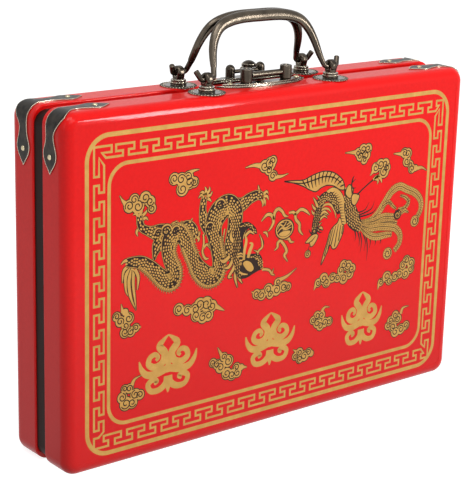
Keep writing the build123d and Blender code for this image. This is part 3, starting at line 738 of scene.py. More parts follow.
# %% Clouds
clouds = [
    ([(-134, 186, 4.5), (-130, 190, 4), (-127, 185, 5), (-121, 190, 4.5), (-117, 187, 4),
      (-115.5, 182, 3.4)], [[(-136, 187, 2.2), (-139.5, 190.5, 0.9), (-142, 194.5, 0.1)]]),
    ([(-97, 200, 4.2), (-91, 199, 4.5), (-85, 200, 4), (-84, 196, 5), (-80, 195.5, 3.8), (-90, 192, 5)],
     [[(-85, 202.5, 1.6), (-80, 203.8, 0.8), (-75.5, 204, 0.1)]]),
    ([(-17, 199, 4.5), (-12, 200, 5), (-9.5, 202, 3.6), (-9, 191, 3.8), (-13, 195.5, 3.5)],
     [[(-20, 199.5, 2), (-27, 200.8, 1.1), (-35, 200, 0.1)],
      [(-7, 190, 1.7), (-1, 189.5, 0.9), (5.5, 190.8, 0.1)]]),
    ([(74, 198, 3.5), (79, 200, 4), (84, 200, 3.8), (82, 195.5, 4.5), (80.5, 192, 3.5), (76, 195, 3.5)],
     [[(72, 198.5, 1.8), (66, 199, 0.8), (60.5, 199.3, 0.1)]]),
    ([(93, 184, 4), (98, 186, 4.2), (103, 186, 4), (102, 180, 5), (105, 182.5, 3.4)],
     [[(91, 182, 1.6), (87.5, 178.5, 0.1)]]),
    ([(123, 192, 3.8), (126.5, 191, 4.2), (126, 185, 4), (130, 182, 3), (132, 178.5, 3.6),
      (136, 178.5, 2.4)],
     [[(120, 191.5, 1.5), (111, 192.8, 0.1)], [(138, 178, 1.5), (143, 178, 0.9), (148.5, 175, 0.1)]]),
    ([(-144, 110, 3.2), (-141, 106, 3.8), (-134, 107, 4.2), (-136.5, 102, 3.4), (-137, 97.5, 4),
      (-132, 97, 3.6), (-128, 99, 3), (-137, 112, 2.5)],
     [[(-139, 112, 1.4), (-140.3, 118.5, 0.1)], [(-127, 99, 1.6), (-123.5, 98.8, 0.3)]]),
    ([(-91.5, 105.5, 4.3), (-84, 103.5, 4), (-77, 103, 4.6), (-73, 105.5, 5), (-67, 105, 5.4),
      (-62, 102.5, 4.4), (-76, 98, 4.4), (-70, 95.5, 4.4), (-65, 96, 4.2)],
     [[(-59, 102, 1.8), (-54, 99, 1), (-50.5, 97, 0.2)]]),
    ([(-21, 104, 3.6), (-16, 102.5, 4), (-10, 105.5, 4.4), (-8, 101.5, 3.4), (-2, 104, 4.6),
      (-1, 109.5, 3.2), (5, 105, 4), (9, 104.5, 3)],
     [[(0, 111, 1.6), (8, 112.8, 1), (17, 117.5, 0.1)], [(-23, 105, 1), (-26, 106.5, 0.2)]]),
    ([(39, 102, 3.2), (44.5, 104.5, 4.2), (47.5, 101, 4), (53.5, 103.5, 3.8), (58.5, 102.5, 3.3),
      (62, 108, 3.5), (64.5, 112, 3.7), (69, 110.5, 4), (73, 107.5, 3.8), (71, 103.5, 3.8), (65, 101, 4.2)],
     [[(37, 101, 1.5), (35, 97, 0.2)]]),
    ([(105, 91, 3), (111, 94.5, 4.2), (114, 91, 3.6), (120, 93, 3.8), (125, 94.5, 3.5), (128.5, 101, 3.6),
      (132, 104.5, 3.8), (137, 101.5, 4), (137, 96.5, 3.6), (131.5, 93.5, 4.2)],
     [[(103, 90, 1.4), (102, 85.5, 0.2)]]),
    ([(-137, 56, 3), (-133, 55.5, 3.4), (-139, 50, 4), (-136, 45, 5), (-130.5, 44.5, 4.2), (-128, 50, 4.2),
      (-124, 49, 3.6)], [[(-131, 57.5, 1.6), (-128.5, 61.5, 0.9), (-122.5, 63.2, 0.1)]]),
    ([(-60, 59, 3.2), (-56, 57, 3.6), (-53, 54, 4.2), (-50, 61.5, 3.2), (-46, 57.5, 4.6), (-47, 48, 4.4),
      (-42, 46, 4.2), (-37, 46.5, 3.6), (-38, 51, 3.4), (-33.5, 50, 2.4)],
     [[(-52, 63, 1.4), (-56, 70, 0.1)], [(-32, 49.8, 1.4), (-28, 49, 0.3)]]),
    ([(35.5, 73, 3), (39.5, 76, 3.4), (44, 75.5, 3.4), (40, 70, 4), (43, 67, 3.6), (47.5, 69, 3.8),
      (52, 69, 3.4)], [[(44, 78.5, 1.4), (47, 81.3, 0.8), (52, 80.5, 0.1)]]),
    ([(19, 47.5, 3), (23, 50, 3.4), (23.5, 44.5, 3.4), (28, 46, 4.2), (32, 48, 3.3), (35, 46.5, 2.4)],
     [[(20, 51, 1.1), (16.5, 53.3, 0.2)]]),
    ([(115.5, 53, 3.2), (118, 57, 3.4), (123, 60.5, 3.6), (126, 57, 3.8), (121, 51, 4), (124, 46.5, 4.4),
      (130, 47.5, 4.2), (135.5, 49.5, 3.6)], [[(129, 60.5, 1.4), (131, 65, 0.9), (137.5, 65.6, 0.1)]])]
cloud_rim, tail_rim, smallest_curled = 0.75, 0.5, 2.9
tail_layer, lobe_layer, curl_layer = 12, 14, 27
for lobes, tails in clouds:
    for i, (x, z, radius) in enumerate(lobes):
        disc(black_ink, x, z, radius + cloud_rim, i)
        disc(gold_ink, x, z, radius, lobe_layer + i)
        if radius > smallest_curled:
            curl(black_ink, x, z, radius, 2.1 * i + 0.02 * x, 1 if i % 2 else -1, curl_layer)
    for tail in tails:
        lined(tail, tail_layer, tail_rim)
print("clouds", len(clouds))

# %% [markdown]
# ## Scales, spines and feathers set out by Geometry Nodes
# A dragon's scales, the spines along its belly and a bird's small feathers are one mark repeated
# hundreds of times. The tree takes points that carry a heading, puts a flat little polygon on each,
# turns it to its heading and varies its size a little with a fixed seed.

# %% Marks tree
fixed_seed = 7
marks_tree, given = geometry_tree("printed_marks", ("Corners", "Int"), ("Long", "Float"), ("Wide", "Float"),
                                  ("Unevenness", "Float"))
mark = add(marks_tree, "GeometryNodeMeshCircle", {"Vertices": given["Corners"], "Radius": 1.0},
           fill_type="NGON")
upright = add(marks_tree, "GeometryNodeTransform", {"Geometry": mark, "Rotation": (math.pi / 2, 0, 0)})
heading = add(marks_tree, "GeometryNodeInputNamedAttribute", {"Name": "heading"}, data_type="FLOAT")
facing = add(marks_tree, "ShaderNodeCombineXYZ", {1: heading})
vary = add(marks_tree, "FunctionNodeRandomValue", {
    2: maths(marks_tree, "SUBTRACT", 1.0, given["Unevenness"]), 3: 1.0, "Seed": fixed_seed}).outputs[1]
mark_size = add(marks_tree, "ShaderNodeCombineXYZ", {
    0: maths(marks_tree, "MULTIPLY", vary, given["Long"]), 1: 1.0,
    2: maths(marks_tree, "MULTIPLY", vary, given["Wide"])})
dots = add(marks_tree, "GeometryNodeMeshToPoints", {"Mesh": given["Geometry"]})
marks = add(marks_tree, "GeometryNodeInstanceOnPoints", {
    "Points": dots, "Instance": upright, "Rotation": facing, "Scale": mark_size})
close_tree(marks_tree, marks, given["Finish"])


def print_marks(ink, spots, layer, corners, length, width, uneven=0.25):
    """One mark on each (x, z, way) spot, with its number of corners and its half length and width."""
    seed = bpy.data.meshes.new("spots")
    seed.from_pydata([place_on_face(x, z, layer) for x, z, way in spots], [], [])
    turned = seed.attributes.new("heading", "FLOAT", "POINT")
    turned.data.foreach_set("value", [-way for x, z, way in spots])
    printed = run_tree(marks_tree, seed, {"Corners": corners, "Long": length * mm, "Wide": width * mm,
                                          "Unevenness": uneven, "Finish": ink["coat"]})
    start = len(ink["corners"])
    ink["corners"] += [tuple(vertex.co) for vertex in printed.vertices]
    ink["faces"] += [[start + i for i in face.vertices] for face in printed.polygons]


def spaced(path, every):
    """Points at an even distance along a line, each with its half width and its way."""
    spots, left = [], 0.0
    for (x1, z1, w1), (x2, z2, w2) in zip(path, path[1:]):
        length = math.hypot(x2 - x1, z2 - z1)
        while left < length:
            t = left / length
            spots.append((x1 + t * (x2 - x1), z1 + t * (z2 - z1), w1 + t * (w2 - w1),
                          math.atan2(z2 - z1, x2 - x1)))
            left += every
        left -= length
    return spots


def aside(x, z, way, distance):
    """A point moved to the left of its way."""
    return x - distance * math.sin(way), z + distance * math.cos(way)


def scale_rows(path, every, across, inset=0.9):
    """Rows of spots across a line, a distance apart, every other row shifted by half a spot."""
    spots = []
    for row_number, (x, z, half, way) in enumerate(spaced(path, every)):
        reach = half - inset
        count = max(1, round(2 * reach / across)) + row_number % 2
        shifts = [(k - (count - 1) / 2) * across for k in range(count)]
        spots += [(*aside(x, z, way, shift), way) for shift in shifts if abs(shift) <= reach]
    return spots


def spines(path, every, side, lean, reach):
    """Spots along one side of a line, leaning away from its way."""
    return [(*aside(x, z, way, side * (half + reach)), way + lean)
            for x, z, half, way in spaced(path, every)]


print("marks ready")

# %% [markdown]
# ## The dragon
# The dragon winds twice before its head rises towards the pearl. Its body is one long black brush
# stroke with gold scales on it, a gold band of belly plates along its outer side and a row of
# spines. The legs, the tuft of the tail and the head are shorter strokes of the same kind. Points
# with a third number carry a half width, and claws share one taper.

# %% Dragon's tail and legs
def rimmed(path, layer):
    """A black body inside a fine gold line, with a black line outside it."""
    ribbon(black_ink, path, layer, 1.1)
    ribbon(gold_ink, path, layer + 1, 0.7)
    ribbon(black_ink, path, layer + 2, 0.3)


tuft = [
    [(-132, 147, 1.6), (-137, 148.5, 1.3), (-140.5, 146.5, 0.4)],
    [(-131, 145, 1.4), (-138, 142, 1.3), (-139.5, 133, 0.2)],
    [(-131, 143, 1.6), (-136.5, 138, 1.5), (-136.5, 128, 0.9), (-134.5, 123, 0.1)],
    [(-131, 142, 1.6), (-134, 134, 1.5), (-132.5, 122, 1.2), (-127.8, 111.5, 0.1)],
    [(-130, 141, 1.5), (-130.5, 131, 1.3), (-129, 120, 0.8), (-128, 113, 0.1)],
    [(-129, 141, 1.4), (-126.3, 135, 1.3), (-127, 126, 0.3)]]
hair_share = 0.85
for number, hair in enumerate(tuft):
    lined([(x, z, hair_share * half) for x, z, half in hair], 2 * number)
legs = [
    [(-103, 162, 6.5), (-110, 164, 5.5), (-117, 166, 3), (-123, 169, 2.2), (-125, 172.5, 2.2),
     (-126, 178, 1.6)], [(-105, 158, 6), (-110, 155, 4.5), (-112.5, 149, 1.6), (-113, 145, 0.3)],
    [(-90, 164, 4), (-84, 165.5, 2.8), (-79.5, 162, 2.4), (-77.5, 156, 1.8)],
    [(-65, 162, 7), (-70, 166, 4), (-72, 173, 2.4), (-71.5, 180, 2), (-70.5, 184, 1.8)],
    [(-45, 173, 6), (-37, 173.5, 4.6), (-30, 177, 3.6), (-23, 178.5, 3), (-18.5, 177, 2.2)]]
for leg in legs:
    path = smooth(leg)
    rimmed(path, 4)
    print_marks(gold_ink, scale_rows(path, 2.2, 2.2, 0.5), 9, 6, 1.15, 0.86)
claws = [
    [(-126, 177), (-128.5, 180), (-131, 179.5)], [(-126, 178), (-124, 181.5), (-126, 184)],
    [(-125, 177), (-121, 179.5), (-119, 182)], [(-124, 175), (-120.5, 176), (-118.5, 174)],
    [(-125, 170), (-128, 167.5), (-127, 164)], [(-77.5, 158), (-75, 157), (-74, 160)],
    [(-77.5, 157), (-79.5, 154), (-77.5, 152)], [(-77, 157), (-75, 154), (-76, 152)],
    [(-70.5, 184), (-73.5, 185.5), (-76, 183.5)], [(-70.5, 185), (-72.5, 187.5), (-75, 187)],
    [(-70, 185), (-69.5, 188.5), (-70.5, 191)], [(-69.5, 185), (-66.5, 188), (-66.5, 190.5)],
    [(-69.5, 184), (-65.5, 184.5), (-64, 187)], [(-69.5, 183), (-66.5, 181.5), (-64.5, 179.5)],
    [(-19, 178), (-21.5, 182), (-22.5, 186)], [(-18, 178), (-14.5, 180), (-13, 178)],
    [(-18, 177), (-14, 176.5), (-12.5, 173.5)], [(-18.5, 176.5), (-16, 173.5), (-15.5, 169.5)],
    [(-19, 176), (-17.5, 172), (-18, 169)]]
for claw in claws:
    lined(widened(claw, 1.1, 0.9, 0.1), 2, 0.55)
wisps = [
    [(-71, 157, 0.5), (-70.5, 150, 0.7), (-71.5, 144, 0.7), (-69, 139, 0.9), (-66, 138.5, 0.3)],
    [(-71, 146, 0.5), (-68, 149, 0.8), (-65.5, 147, 0.8)],
    [(-65, 152, 1.1), (-65.2, 148, 1.3), (-64, 144.5, 0.3)],
    [(-96, 165, 0.7), (-99, 168, 0.7), (-94, 170, 0.3)], [(-83, 166, 0.8), (-81, 170, 0.3)],
    [(-52, 158, 0.5), (-53.5, 149, 0.5), (-52.5, 142, 0.4)]]
for wisp in wisps:
    lined(wisp, 2, 0.5)
print("legs", len(legs), "claws", len(claws))

# %% Dragon's body
body_line = smooth(
    [(-136, 147, 2.4), (-131, 146.5, 3.2), (-124, 145, 4), (-117, 140.5, 4.6), (-110, 134, 5.2),
     (-104, 129, 6), (-97.5, 127.5, 6.6), (-95.5, 134, 5.6), (-99, 142, 5), (-101, 150, 5.2),
     (-99.5, 158, 6.4), (-93, 161.5, 6.4), (-87.5, 157, 5.4), (-84, 149, 4.9), (-79.5, 140, 5),
     (-74.5, 131.5, 6.2), (-67, 125, 7), (-59.8, 125, 7), (-56.2, 132, 5.6), (-58, 142, 4.8),
     (-60.5, 152, 5.2), (-62, 162, 7), (-58, 170.5, 8), (-50, 175, 7.4), (-43.5, 170, 6.4), (-43, 160, 5.6),
     (-45.5, 150, 5), (-46, 142, 5), (-42, 136, 5)])
rimmed(body_line, 8)
scales = scale_rows(body_line, 2.1, 2.1, 0.75)
print_marks(gold_ink, scales, 12, 6, 1.12, 0.84)


def beside(path, side, width, start, end):
    """A band along one side of a line, between two shares of its length."""
    part = path[int(start * len(path)):int(end * len(path))]
    moved = []
    for i, (x, z, half) in enumerate(part):
        before, after = part[max(i - 1, 0)], part[min(i + 1, len(part) - 1)]
        way = math.atan2(after[1] - before[1], after[0] - before[0])
        moved.append((*aside(x, z, way, side * (half - width)), width))
    return moved


for side, start, end in ((-1, 0.07, 0.37), (-1, 0.46, 0.72), (1, 0.36, 0.5)):
    belly = beside(body_line, side, 0.75, start, end)
    ribbon(black_ink, belly, 13, 0.35)
    ribbon(gold_ink, belly, 14)
    seams = [(x, z, way + math.pi / 2) for x, z, half, way in spaced(belly, 1.7)]
    print_marks(black_ink, seams, 15, 4, 0.8, 0.32, 0.1)
    fringe = spines(belly, 2.0, side, side, 1.0)
    print_marks(black_ink, fringe, 5, 3, 2.7, 1.1)
    print_marks(gold_ink, fringe, 7, 3, 1.9, 0.62)

haunches = [(-103, 164, 4.6), (-95, 163, 3.4), (-110, 163.5, 3.4), (-56.5, 175.5, 4.6), (-65.5, 161, 3.6)]
for x, z, radius in haunches:
    arc = [(x + radius * math.cos(a), z + radius * math.sin(a), 0.6) for a in (0.2, 0.9, 1.6, 2.3, 3.0)]
    lined(arc, 16, 0.5)
    curl(black_ink, x, z, radius, 0.5, 1, 18, 0.6)
print("scales", len(scales))

# %% Dragon's head
for hair in (
        [(-47, 137, 1.2), (-52, 134, 1.4), (-56, 136, 0.2)],
        [(-44, 134, 1.2), (-47.5, 129, 1.2), (-52, 129, 0.2)],
        [(-41, 131, 1.2), (-44, 126, 1.2), (-47.5, 121.5, 0.8), (-44, 121, 0.2)],
        [(-39, 128, 1.3), (-41.5, 121, 1.2), (-39, 112, 0.1)],
        [(-36, 125, 1.2), (-37.5, 119, 1), (-34.5, 114.5, 0.1)],
        [(-42, 146, 1.3), (-46, 150, 1.2), (-46, 156, 0.2)],
        [(-38, 149, 1.5), (-39, 156, 1.3), (-35, 159, 0.3)],
        [(-36, 148, 1.4), (-34, 154, 1.4), (-30, 157, 1.2), (-25, 153.5, 1), (-23, 150, 0.2)],
        [(-33, 150, 1), (-29, 152.5, 1), (-25, 150, 0.2)]):
    lined(hair, 17, 0.75)
patch(
    black_ink,
    [(-43, 155), (-38.5, 159.5), (-31, 160), (-26, 156.5), (-22, 150), (-26, 151.5), (-31, 155), (-35, 149),
     (-33, 137), (-26, 135.5), (-20, 134.5), (-16.5, 130), (-16, 123), (-20, 121.5), (-25, 120), (-31, 118),
     (-37, 118.5), (-41, 122), (-42.5, 129), (-44.5, 135), (-44, 146)], 19)
for path, every in (
        ([(-40.5, 158, 2.5), (-40.5, 148, 4), (-41.5, 138, 3.8), (-39.5, 127, 3.2), (-37, 120, 2)], 2.25),
        ([(-37, 157.5, 1.5), (-31, 158, 2), (-26.5, 154.5, 1.6), (-23, 150.5, 0.6)], 1.62)):
    print_marks(gold_ink, scale_rows(smooth(path), every, 1.8, 0.2), 20, 4, 1.45, 0.55, 0.5)
muzzle = smooth([(-27, 133, 1.2), (-21, 132.3, 2.2), (-18, 127, 2.3), (-16, 121.5, 0.8)])
print_marks(gold_ink, scale_rows(muzzle, 1.8, 1.7, 0.2), 20, 5, 0.9, 0.72, 0.4)
patch(black_ink, [(-36, 130.5), (-31.5, 132.5), (-26, 129.5), (-23, 124), (-26, 120.5), (-31.5, 123)], 21)
patch(
    gold_ink, [(-34.5, 129.3), (-31.5, 131), (-27, 128.8), (-24.5, 124.3), (-26.7, 122.2), (-30.8, 124)],
    22)
for hair in (
        [(-34, 132, 1), (-33.5, 139, 1.2), (-32, 146, 1.1), (-33.5, 151, 0.4)],
        [(-30, 133, 1.2), (-28.5, 138, 1.5), (-26.5, 142.5, 1.1), (-29, 144, 0.4)],
        [(-40, 137, 0.5), (-37, 137.4, 0.6), (-34.5, 136.2, 0.3)],
        [(-40, 135, 0.5), (-37, 135.4, 0.6), (-34, 134.2, 0.3)],
        [(-38, 132.5, 0.5), (-36, 132, 0.6), (-34.5, 132.8, 0.3)],
        [(-38, 123.5, 0.5), (-34, 121.5, 0.7), (-30, 120.6, 0.3)]):
    stroke(gold_ink, hair, 23)
disc(gold_ink, -36.6, 129.6, 1.1, 24, 12)
disc(black_ink, -36.4, 129.5, 0.5, 25, 10)
for hair in (
        [(-16, 122, 0.9), (-10, 120.5, 0.8), (-7, 117, 0.8), (-4, 115.5, 0.1)],
        [(-7, 117, 0.7), (-5.5, 121, 0.1)],
        [(-22, 133.5, 0.7), (-20, 137, 0.7), (-17, 139, 0.8), (-17.5, 144, 0.6), (-20, 149, 0.1)],
        [(-21, 136, 0.6), (-25, 138, 0.1)]):
    lined(hair, 17, 0.55)
lined([(-53, 134, 1.7), (-50.5, 134.5, 1.6), (-49, 133, 0.6)], 16, 0.6)
print("head drawn")

# %% [markdown]
# ## The pearl
# Dragon and phoenix face each other over a flaming pearl: a ringed ball with a swirl in it and
# ribbons of flame round it.

# %% Pearl
for flame in (
        [(-18.5, 158.5, 0.3), (-13.5, 162.5, 1.1), (-9, 161.5, 1.2), (-7, 156.5, 1.1), (-9.5, 152, 0.8),
         (-12, 150, 0.2)],
        [(-7, 158, 1), (-6, 163.5, 1.2), (-2.5, 165.5, 1.2), (1, 163, 1), (3.5, 159.5, 0.9),
         (7, 158.5, 0.2)], [(-16.5, 150, 0.3), (-13.5, 149, 0.9), (-12, 145.5, 0.2)],
        [(-18, 146, 0.3), (-16.5, 141.5, 0.8), (-18, 138, 0.2)],
        [(7.5, 161, 0.8), (11.5, 161, 1), (14, 159.5, 1.2), (19, 162, 1.1), (24, 160, 1), (28, 156.5, 0.3)],
        [(13.5, 160, 1.1), (14.5, 155, 1.1), (18, 151, 1.1), (18.5, 146, 1), (22, 142, 0.2)],
        [(2, 142, 1.1), (-2, 140, 1.1), (-2.5, 136.5, 0.9), (-5.5, 134.5, 0.2)],
        [(4, 142, 1), (8, 141.5, 1), (10, 138.8, 0.9), (13.5, 138, 0.2)],
        [(1, 140.5, 1), (4.5, 136.5, 1.1), (6.5, 132, 1.1), (4.5, 129, 1), (8, 124, 0.2)]):
    lined(flame, 0, 0.55)
outlined(ring_points(3.8, 149.3, 8.8, 7.6, 16), 3, 0.5)
patch(black_ink, ring_points(3.8, 149.4, 0.83 * 8.8, 0.8 * 7.6, 16), 6)
for swirl in (
        [(-3, 150, 0.2), (-0.5, 153.2, 0.5), (2.8, 151.6, 0.55), (5.4, 154.8, 0.3)],
        [(-3, 147.6, 0.3), (0.6, 150.4, 0.6), (5, 150, 0.6), (10.4, 152.4, 0.3)],
        [(5.6, 152, 0.3), (8.2, 153.4, 0.5), (9.6, 152.8, 0.2)],
        [(2, 148.9, 0.3), (6, 148.9, 0.5), (10.6, 150, 0.2)],
        [(-1.8, 153.6, 0.2), (0.8, 154.9, 0.5), (3.4, 154.6, 0.2)]):
    stroke(gold_ink, swirl, 7)
patch(
    gold_ink,
    [(-1.4, 146.2), (1.5, 147.6), (5, 147.9), (9.4, 147), (7.6, 144.7), (3.8, 143.7), (0.2, 144.5)], 7)
print("pearl drawn")

# %% [markdown]
# ## The phoenix
# The phoenix flies down to the pearl with its neck arched. Wings and tail are gold, cut by black
# lines between the feathers, while the neck and the body are black under small gold feathers.

# %% Phoenix's wings and body
upper_wing = [
    (2, 185.2), (10, 184.8), (20, 184), (26, 185.5), (33, 187.3), (41, 188), (49, 186.2), (55.5, 182.5),
    (60, 178), (61.8, 171.5), (56.5, 172), (50.5, 175.5), (44, 176.8), (38.5, 175.8), (33, 173.5),
    (27, 175.5), (20, 179.3), (11, 182.8)]
outlined(upper_wing, 0)
quills = [
    ((24, 178), (19.5, 184)), ((27, 176.8), (24, 184.8)), ((30, 176.3), (28, 186)), ((33, 177), (32, 187)),
    ((36, 178.2), (36, 187.6)), ((39, 179), (40, 187.8)), ((42, 179.4), (44, 187.3)),
    ((45, 179.2), (48, 186.4)), ((48, 178.4), (52, 184.6)), ((51, 177), (56, 182)),
    ((54, 175.5), (59, 179)), ((57, 174), (61, 175))]
for root, tip in quills:
    middle = ((root[0] + tip[0]) / 2 - 0.6, (root[1] + tip[1]) / 2)
    stroke(black_ink, widened((root, middle, tip), 0.2, 0.6, 0.45), 3)
stroke(
    black_ink,
    [(8, 183.8, 0.2), (20, 181.5, 0.5), (30, 182.5, 0.5), (40, 183.8, 0.5), (50, 182, 0.5), (58, 177, 0.3)],
    3)
lower_wing = [
    (62, 146), (62.5, 139), (60, 133), (56, 127), (52, 126.5), (49.5, 130), (46.5, 124), (41, 115.5),
    (43, 124), (46, 132), (48.5, 140), (52, 144), (56, 146.5), (58, 150)]
outlined(lower_wing, 0)
for quill in (
        ((50, 141), (44, 122)), ((52, 143), (47.5, 127)), ((54.5, 144), (50.5, 130)),
        ((57, 145), (54, 128)), ((59.5, 144), (58, 132)), ((61.5, 143), (61, 137))):
    stroke(black_ink, widened(quill, 0.3, 0.5), 3)
neck = smooth(
    [(36, 157, 2), (37, 163, 3.2), (41, 167.5, 3.6), (47, 168, 3.6), (52.5, 164, 3.6), (55.5, 158, 2.8),
     (57, 153, 1)])
ribbon(black_ink, neck, 4, 0.5)
print_marks(gold_ink, scale_rows(neck, 1.9, 1.9, 0.5), 6, 6, 0.95, 0.62)
for number, plume in enumerate(
        ([(37, 158.5, 0.4), (42, 162, 0.8), (48, 161.5, 0.8), (52.5, 156, 0.6), (54.5, 150, 0.1)],
         [(36.5, 155.5, 0.5), (41, 159, 0.8), (46, 158.5, 0.7), (49, 155.5, 0.1)],
         [(36.5, 152.5, 0.5), (41, 155.8, 0.7), (45.5, 153.5, 0.1)],
         [(31, 168.8, 0.1), (34, 165.5, 0.8), (35.8, 160, 0.6)],
         [(34, 170.5, 0.1), (37, 167.5, 0.7), (38, 163, 0.5)])):
    lined(plume, 1 + 2 * (number % 3), 0.4)
breast = smooth(
    [(44, 172, 0.6), (50, 172.5, 1.8), (56, 168, 2.6), (60, 160, 3), (62, 151, 2.8), (63, 144, 1.6)])
ribbon(black_ink, breast, 5, 0.6)
ribbon(gold_ink, breast, 6)
for x, z, half, way in spaced(breast, 2.4)[3:]:
    stroke(black_ink, [(*aside(x, z, way, -half), 0.4), (x + 1.2, z - 1.0, 0.1)], 7)
body = smooth(
    [(63, 172, 1.5), (66, 164, 4), (68.5, 155, 5.6), (72, 147, 6.4), (76.5, 141.5, 5), (81, 139, 3)])
ribbon(black_ink, body, 8, 0.4)
print_marks(gold_ink, scale_rows(body, 2.0, 2.0, 0.3), 10, 5, 1.15, 0.68)
for thigh in (
        [(66, 174.5), (62.8, 168), (68, 163.5), (71, 170)],
        [(70, 166.5), (77.5, 164.5), (73.5, 157.5), (69.5, 160)]):
    outlined(thigh, 11)
for thin in (
        [(70, 167, 0.8), (68.8, 173, 0.6), (69.5, 178, 0.7), (71, 180.5, 0.3)],
        [(69.5, 176, 0.6), (73, 178, 0.2)], [(70, 171, 0.6), (73.5, 171, 0.2)],
        [(75, 165.5, 0.8), (82, 170, 0.6), (91, 175, 0.7)]):
    stroke(black_ink, thin, 13)
for toe in (
        [(91, 175, 0.9), (95, 177, 1.1), (99, 174.5, 1), (100, 171.5, 0.2)],
        [(92, 175.5, 0.8), (96, 174, 0.9), (95.5, 171, 0.2)],
        [(93, 176, 0.8), (98, 177.5, 0.9), (101, 176, 0.2)]):
    lined(toe, 13, 0.5)
print("wings, neck and body drawn")

# %% Phoenix's head
for plume in (
        [(36, 160, 1), (33.5, 165, 0.9), (30.5, 169.5, 0.1)],
        [(35, 159, 1), (31.5, 161.5, 0.8), (29.5, 164.5, 0.1)],
        [(34.5, 156, 1), (31, 157.5, 0.8), (29.5, 160, 0.1)],
        [(37, 153.5, 0.8), (42, 157, 0.9), (47, 153.8, 0.1)],
        [(37.5, 151, 0.8), (42, 153.5, 0.7), (45.5, 151.5, 0.1)], [(37, 147, 0.7), (40, 149, 0.1)],
        [(36, 143, 0.9), (39.5, 145, 0.9), (41.5, 142.5, 0.1)]):
    lined(plume, 14, 0.6)
crown = smooth([(37, 161, 2.4), (35.5, 155, 3.2), (34, 149, 3.2), (33.2, 143, 2.8), (32, 139.5, 1.6)])
ribbon(black_ink, crown, 16, 0.3)
print_marks(gold_ink, scale_rows(crown, 1.8, 1.7, 0.2), 17, 4, 1.15, 0.42, 0.4)
for streak in (
        [(35, 146), (39, 143.5), (42.5, 143)], [(35, 144), (38.5, 141.5), (41, 141.5)],
        [(31, 141), (28.5, 143.5), (27.5, 146)]):
    stroke(black_ink, widened(streak, 0.6, 0.5, 0.1), 18)
outlined(
    [(30.5, 140.5), (26.5, 137.8), (24.6, 135.4), (28.5, 134.6), (30, 131.6), (33.5, 133), (37, 138.6),
     (35, 141)], 18, 0.4)
stroke(black_ink, [(28, 135, 0.4), (31.5, 136.6, 0.4), (34.5, 139.4, 0.2)], 20)
for ink, x, z, radius, layer, sides in (
        (black_ink, 33.2, 143.2, 1.9, 19, 12), (gold_ink, 33.0, 143.2, 0.9, 20, 12),
        (black_ink, 33.0, 143.2, 0.4, 21, 8), (black_ink, 27.3, 126.5, 3.3, 14, 20),
        (gold_ink, 27.3, 126.5, 2.6, 15, 20)):
    disc(ink, x, z, radius, layer, sides)
curl(black_ink, 27.3, 126.5, 2.4, 0.5, 1, 16, 0.35)
stroke(black_ink, [(27.5, 129.5, 0.4), (28.5, 132.5, 0.3)], 15)
print("phoenix's head drawn")

# %% Phoenix's tail
for barb in (
        [(76, 151), (84, 152.5), (88, 158)], [(78, 149), (90, 152), (93.5, 158)],
        [(79, 147.5), (92, 149), (97, 154)], [(74, 138), (75.5, 133), (75, 129)],
        [(77, 137), (79.5, 130), (79.5, 124)], [(80, 135), (82, 127), (81, 119)],
        [(83, 134), (86, 127), (85, 119.5)], [(86, 133), (88.5, 122), (88, 111)],
        [(90, 131), (91.5, 126), (90.5, 121)], [(95, 129), (97, 125), (96, 122)],
        [(101, 127.5), (102.5, 124.5), (101.5, 122.5)]):
    stroke(black_ink, widened(barb, 0.7, 0.5, 0.1), 0)
plumes = [
    [(80, 143.5, 1.2), (90, 143.5, 2), (98, 148, 2.6), (105, 156, 2.8), (112, 163.5, 2.9), (120, 166, 2.9),
     (128, 162.5, 2.8), (137, 158.5, 2.7), (143.5, 152, 2.4), (144.5, 144.5, 2.2), (140.5, 137.5, 2)],
    [(82, 142, 1.4), (94, 142, 2.6), (104, 144, 2.6), (112, 143, 2.2), (118, 142, 1.6)],
    [(82, 141, 1.4), (92, 139, 2.2), (102, 139.5, 2.4), (111, 139, 2), (119, 137, 1)],
    [(80, 140.5, 1.4), (90, 137, 2.4), (100, 136.5, 2.8), (110, 135, 2.8), (118, 132.5, 2.6),
     (123, 126.5, 2.4), (122.5, 119.5, 2.2), (117.5, 114.5, 2)],
    [(80, 139, 1.2), (88, 132.5, 2.2), (97, 129, 2.6), (107, 129, 2.4), (114, 128.5, 1.6)],
    [(103, 153, 1.2), (109, 155, 1.4), (113, 151.5, 1.2), (117, 148.5, 0.6)],
    [(120, 147.5, 1), (127, 148, 1.6), (130.5, 152.5, 1.4), (126.5, 156.5, 1.2), (121, 158.5, 0.4)],
    [(122, 143.5, 0.8), (127, 145.5, 1.2), (131, 143.5, 0.3)]]
layers_each, slanted_from = 4, 1.3
for number, plume in enumerate(plumes):
    path, layer = smooth(plume), 3 + layers_each * number
    for side in (-1, 1):
        hem = spines(path, 1.5, side, side * 0.75, -0.1)
        print_marks(black_ink, hem, layer, 3, 1.9, 0.95, 0.4)
        print_marks(gold_ink, hem, layer + 1, 3, 1.25, 0.55, 0.4)
    ribbon(black_ink, path, layer, 0.3)
    ribbon(gold_ink, path, layer + 1)
    ribbon(black_ink, [(x, z, 0.32) for x, z, half in path], layer + 2)
    slant = [(*aside(x, z, way, 0.55 * side * half), way + side * 0.7)
             for x, z, half, way in spaced(path, 1.9) for side in (-1, 1) if half > slanted_from]
    if slant:
        print_marks(black_ink, slant, layer + 3, 4, 1.3, 0.36, 0.2)
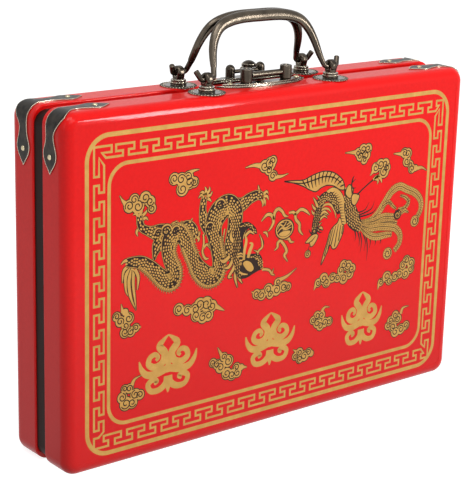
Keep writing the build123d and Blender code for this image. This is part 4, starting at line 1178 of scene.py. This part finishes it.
for x, z, radius, ink, other_ink in (
        (138.5, 135.5, 4.4, gold_ink, black_ink), (110.5, 113.5, 4.6, gold_ink, black_ink),
        (119, 143.5, 3.6, black_ink, gold_ink)):
    disc(black_ink, x, z, radius + 0.5, 37)
    disc(ink, x, z, radius, 38)
    curl(other_ink, x, z, radius, 1.0, -1, 39)
    ring = 0.72 * radius
    rays = [(x + ring * math.cos(a / 2), z + ring * math.sin(a / 2), a / 2) for a in range(13)]
    print_marks(black_ink, rays, 40, 4, 1.1, 0.3, 0.3)
print("tail drawn")

# %% [markdown]
# ## Three gold knots
# Three places under the animals are filled with solid gold knots of cloud scroll, a common old
# ornament: two volutes that meet in a point, with a smaller pair below. Each is one drawing scaled
# to its own place, in broad brush lines without a black rim.

# %% Cloud knots
knot = [
    [(-0.42, 0.20, 0.05), (-0.34, 0.30, 0.07), (-0.45, 0.42, 0.08), (-0.62, 0.34, 0.09),
     (-0.66, 0.12, 0.10), (-0.45, -0.02, 0.11), (-0.20, 0.08, 0.12), (-0.12, 0.38, 0.13),
     (-0.30, 0.66, 0.12), (-0.16, 0.86, 0.07), (0, 1.0, 0.02)],
    [(-0.98, 0.30, 0.02), (-0.90, 0.00, 0.08), (-0.72, -0.22, 0.11), (-0.42, -0.26, 0.12),
     (-0.06, -0.16, 0.12)],
    [(-0.46, -0.62, 0.04), (-0.38, -0.52, 0.08), (-0.52, -0.44, 0.09), (-0.68, -0.58, 0.09),
     (-0.58, -0.82, 0.09), (-0.30, -0.84, 0.10), (-0.08, -0.66, 0.11), (-0.05, -0.42, 0.10)]]
for cx, cz, across, tall in ((-100, 67, 25.5, 21.5), (-6.5, 66.5, 24, 20.5), (86, 65, 21.5, 21.5)):
    size = (across + tall) / 2
    for flip in (-1, 1):
        for number, line in enumerate(knot):
            stroke(gold_ink, [(cx - flip * x * across, cz + z * tall, half * size) for x, z, half in line],
                   40 + 2 * number + (flip > 0))
    for layer, stem in (
            (47, [(-0.5, 0.11), (-0.78, 0.09), (-1, 0.02)]), (48, [(0.34, 0.02), (0, 0.1), (-0.3, 0.06)])):
        stroke(gold_ink, [(cx, cz + z * tall, half * size) for z, half in stem], layer)
print("knots drawn")

# %% [markdown]
# ## The finished print
# The two inks become two pieces that ride on the front half, as the border does.

# %% Print
for name, ink in (("gold_print", gold_ink), ("black_print", black_ink)):
    keep_piece(name, ink_mesh(name, ink), "front_half", None)

# %% Close
size = {"cad_box": cad_box, "visual_box": [list(corner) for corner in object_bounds()]}
print(size)
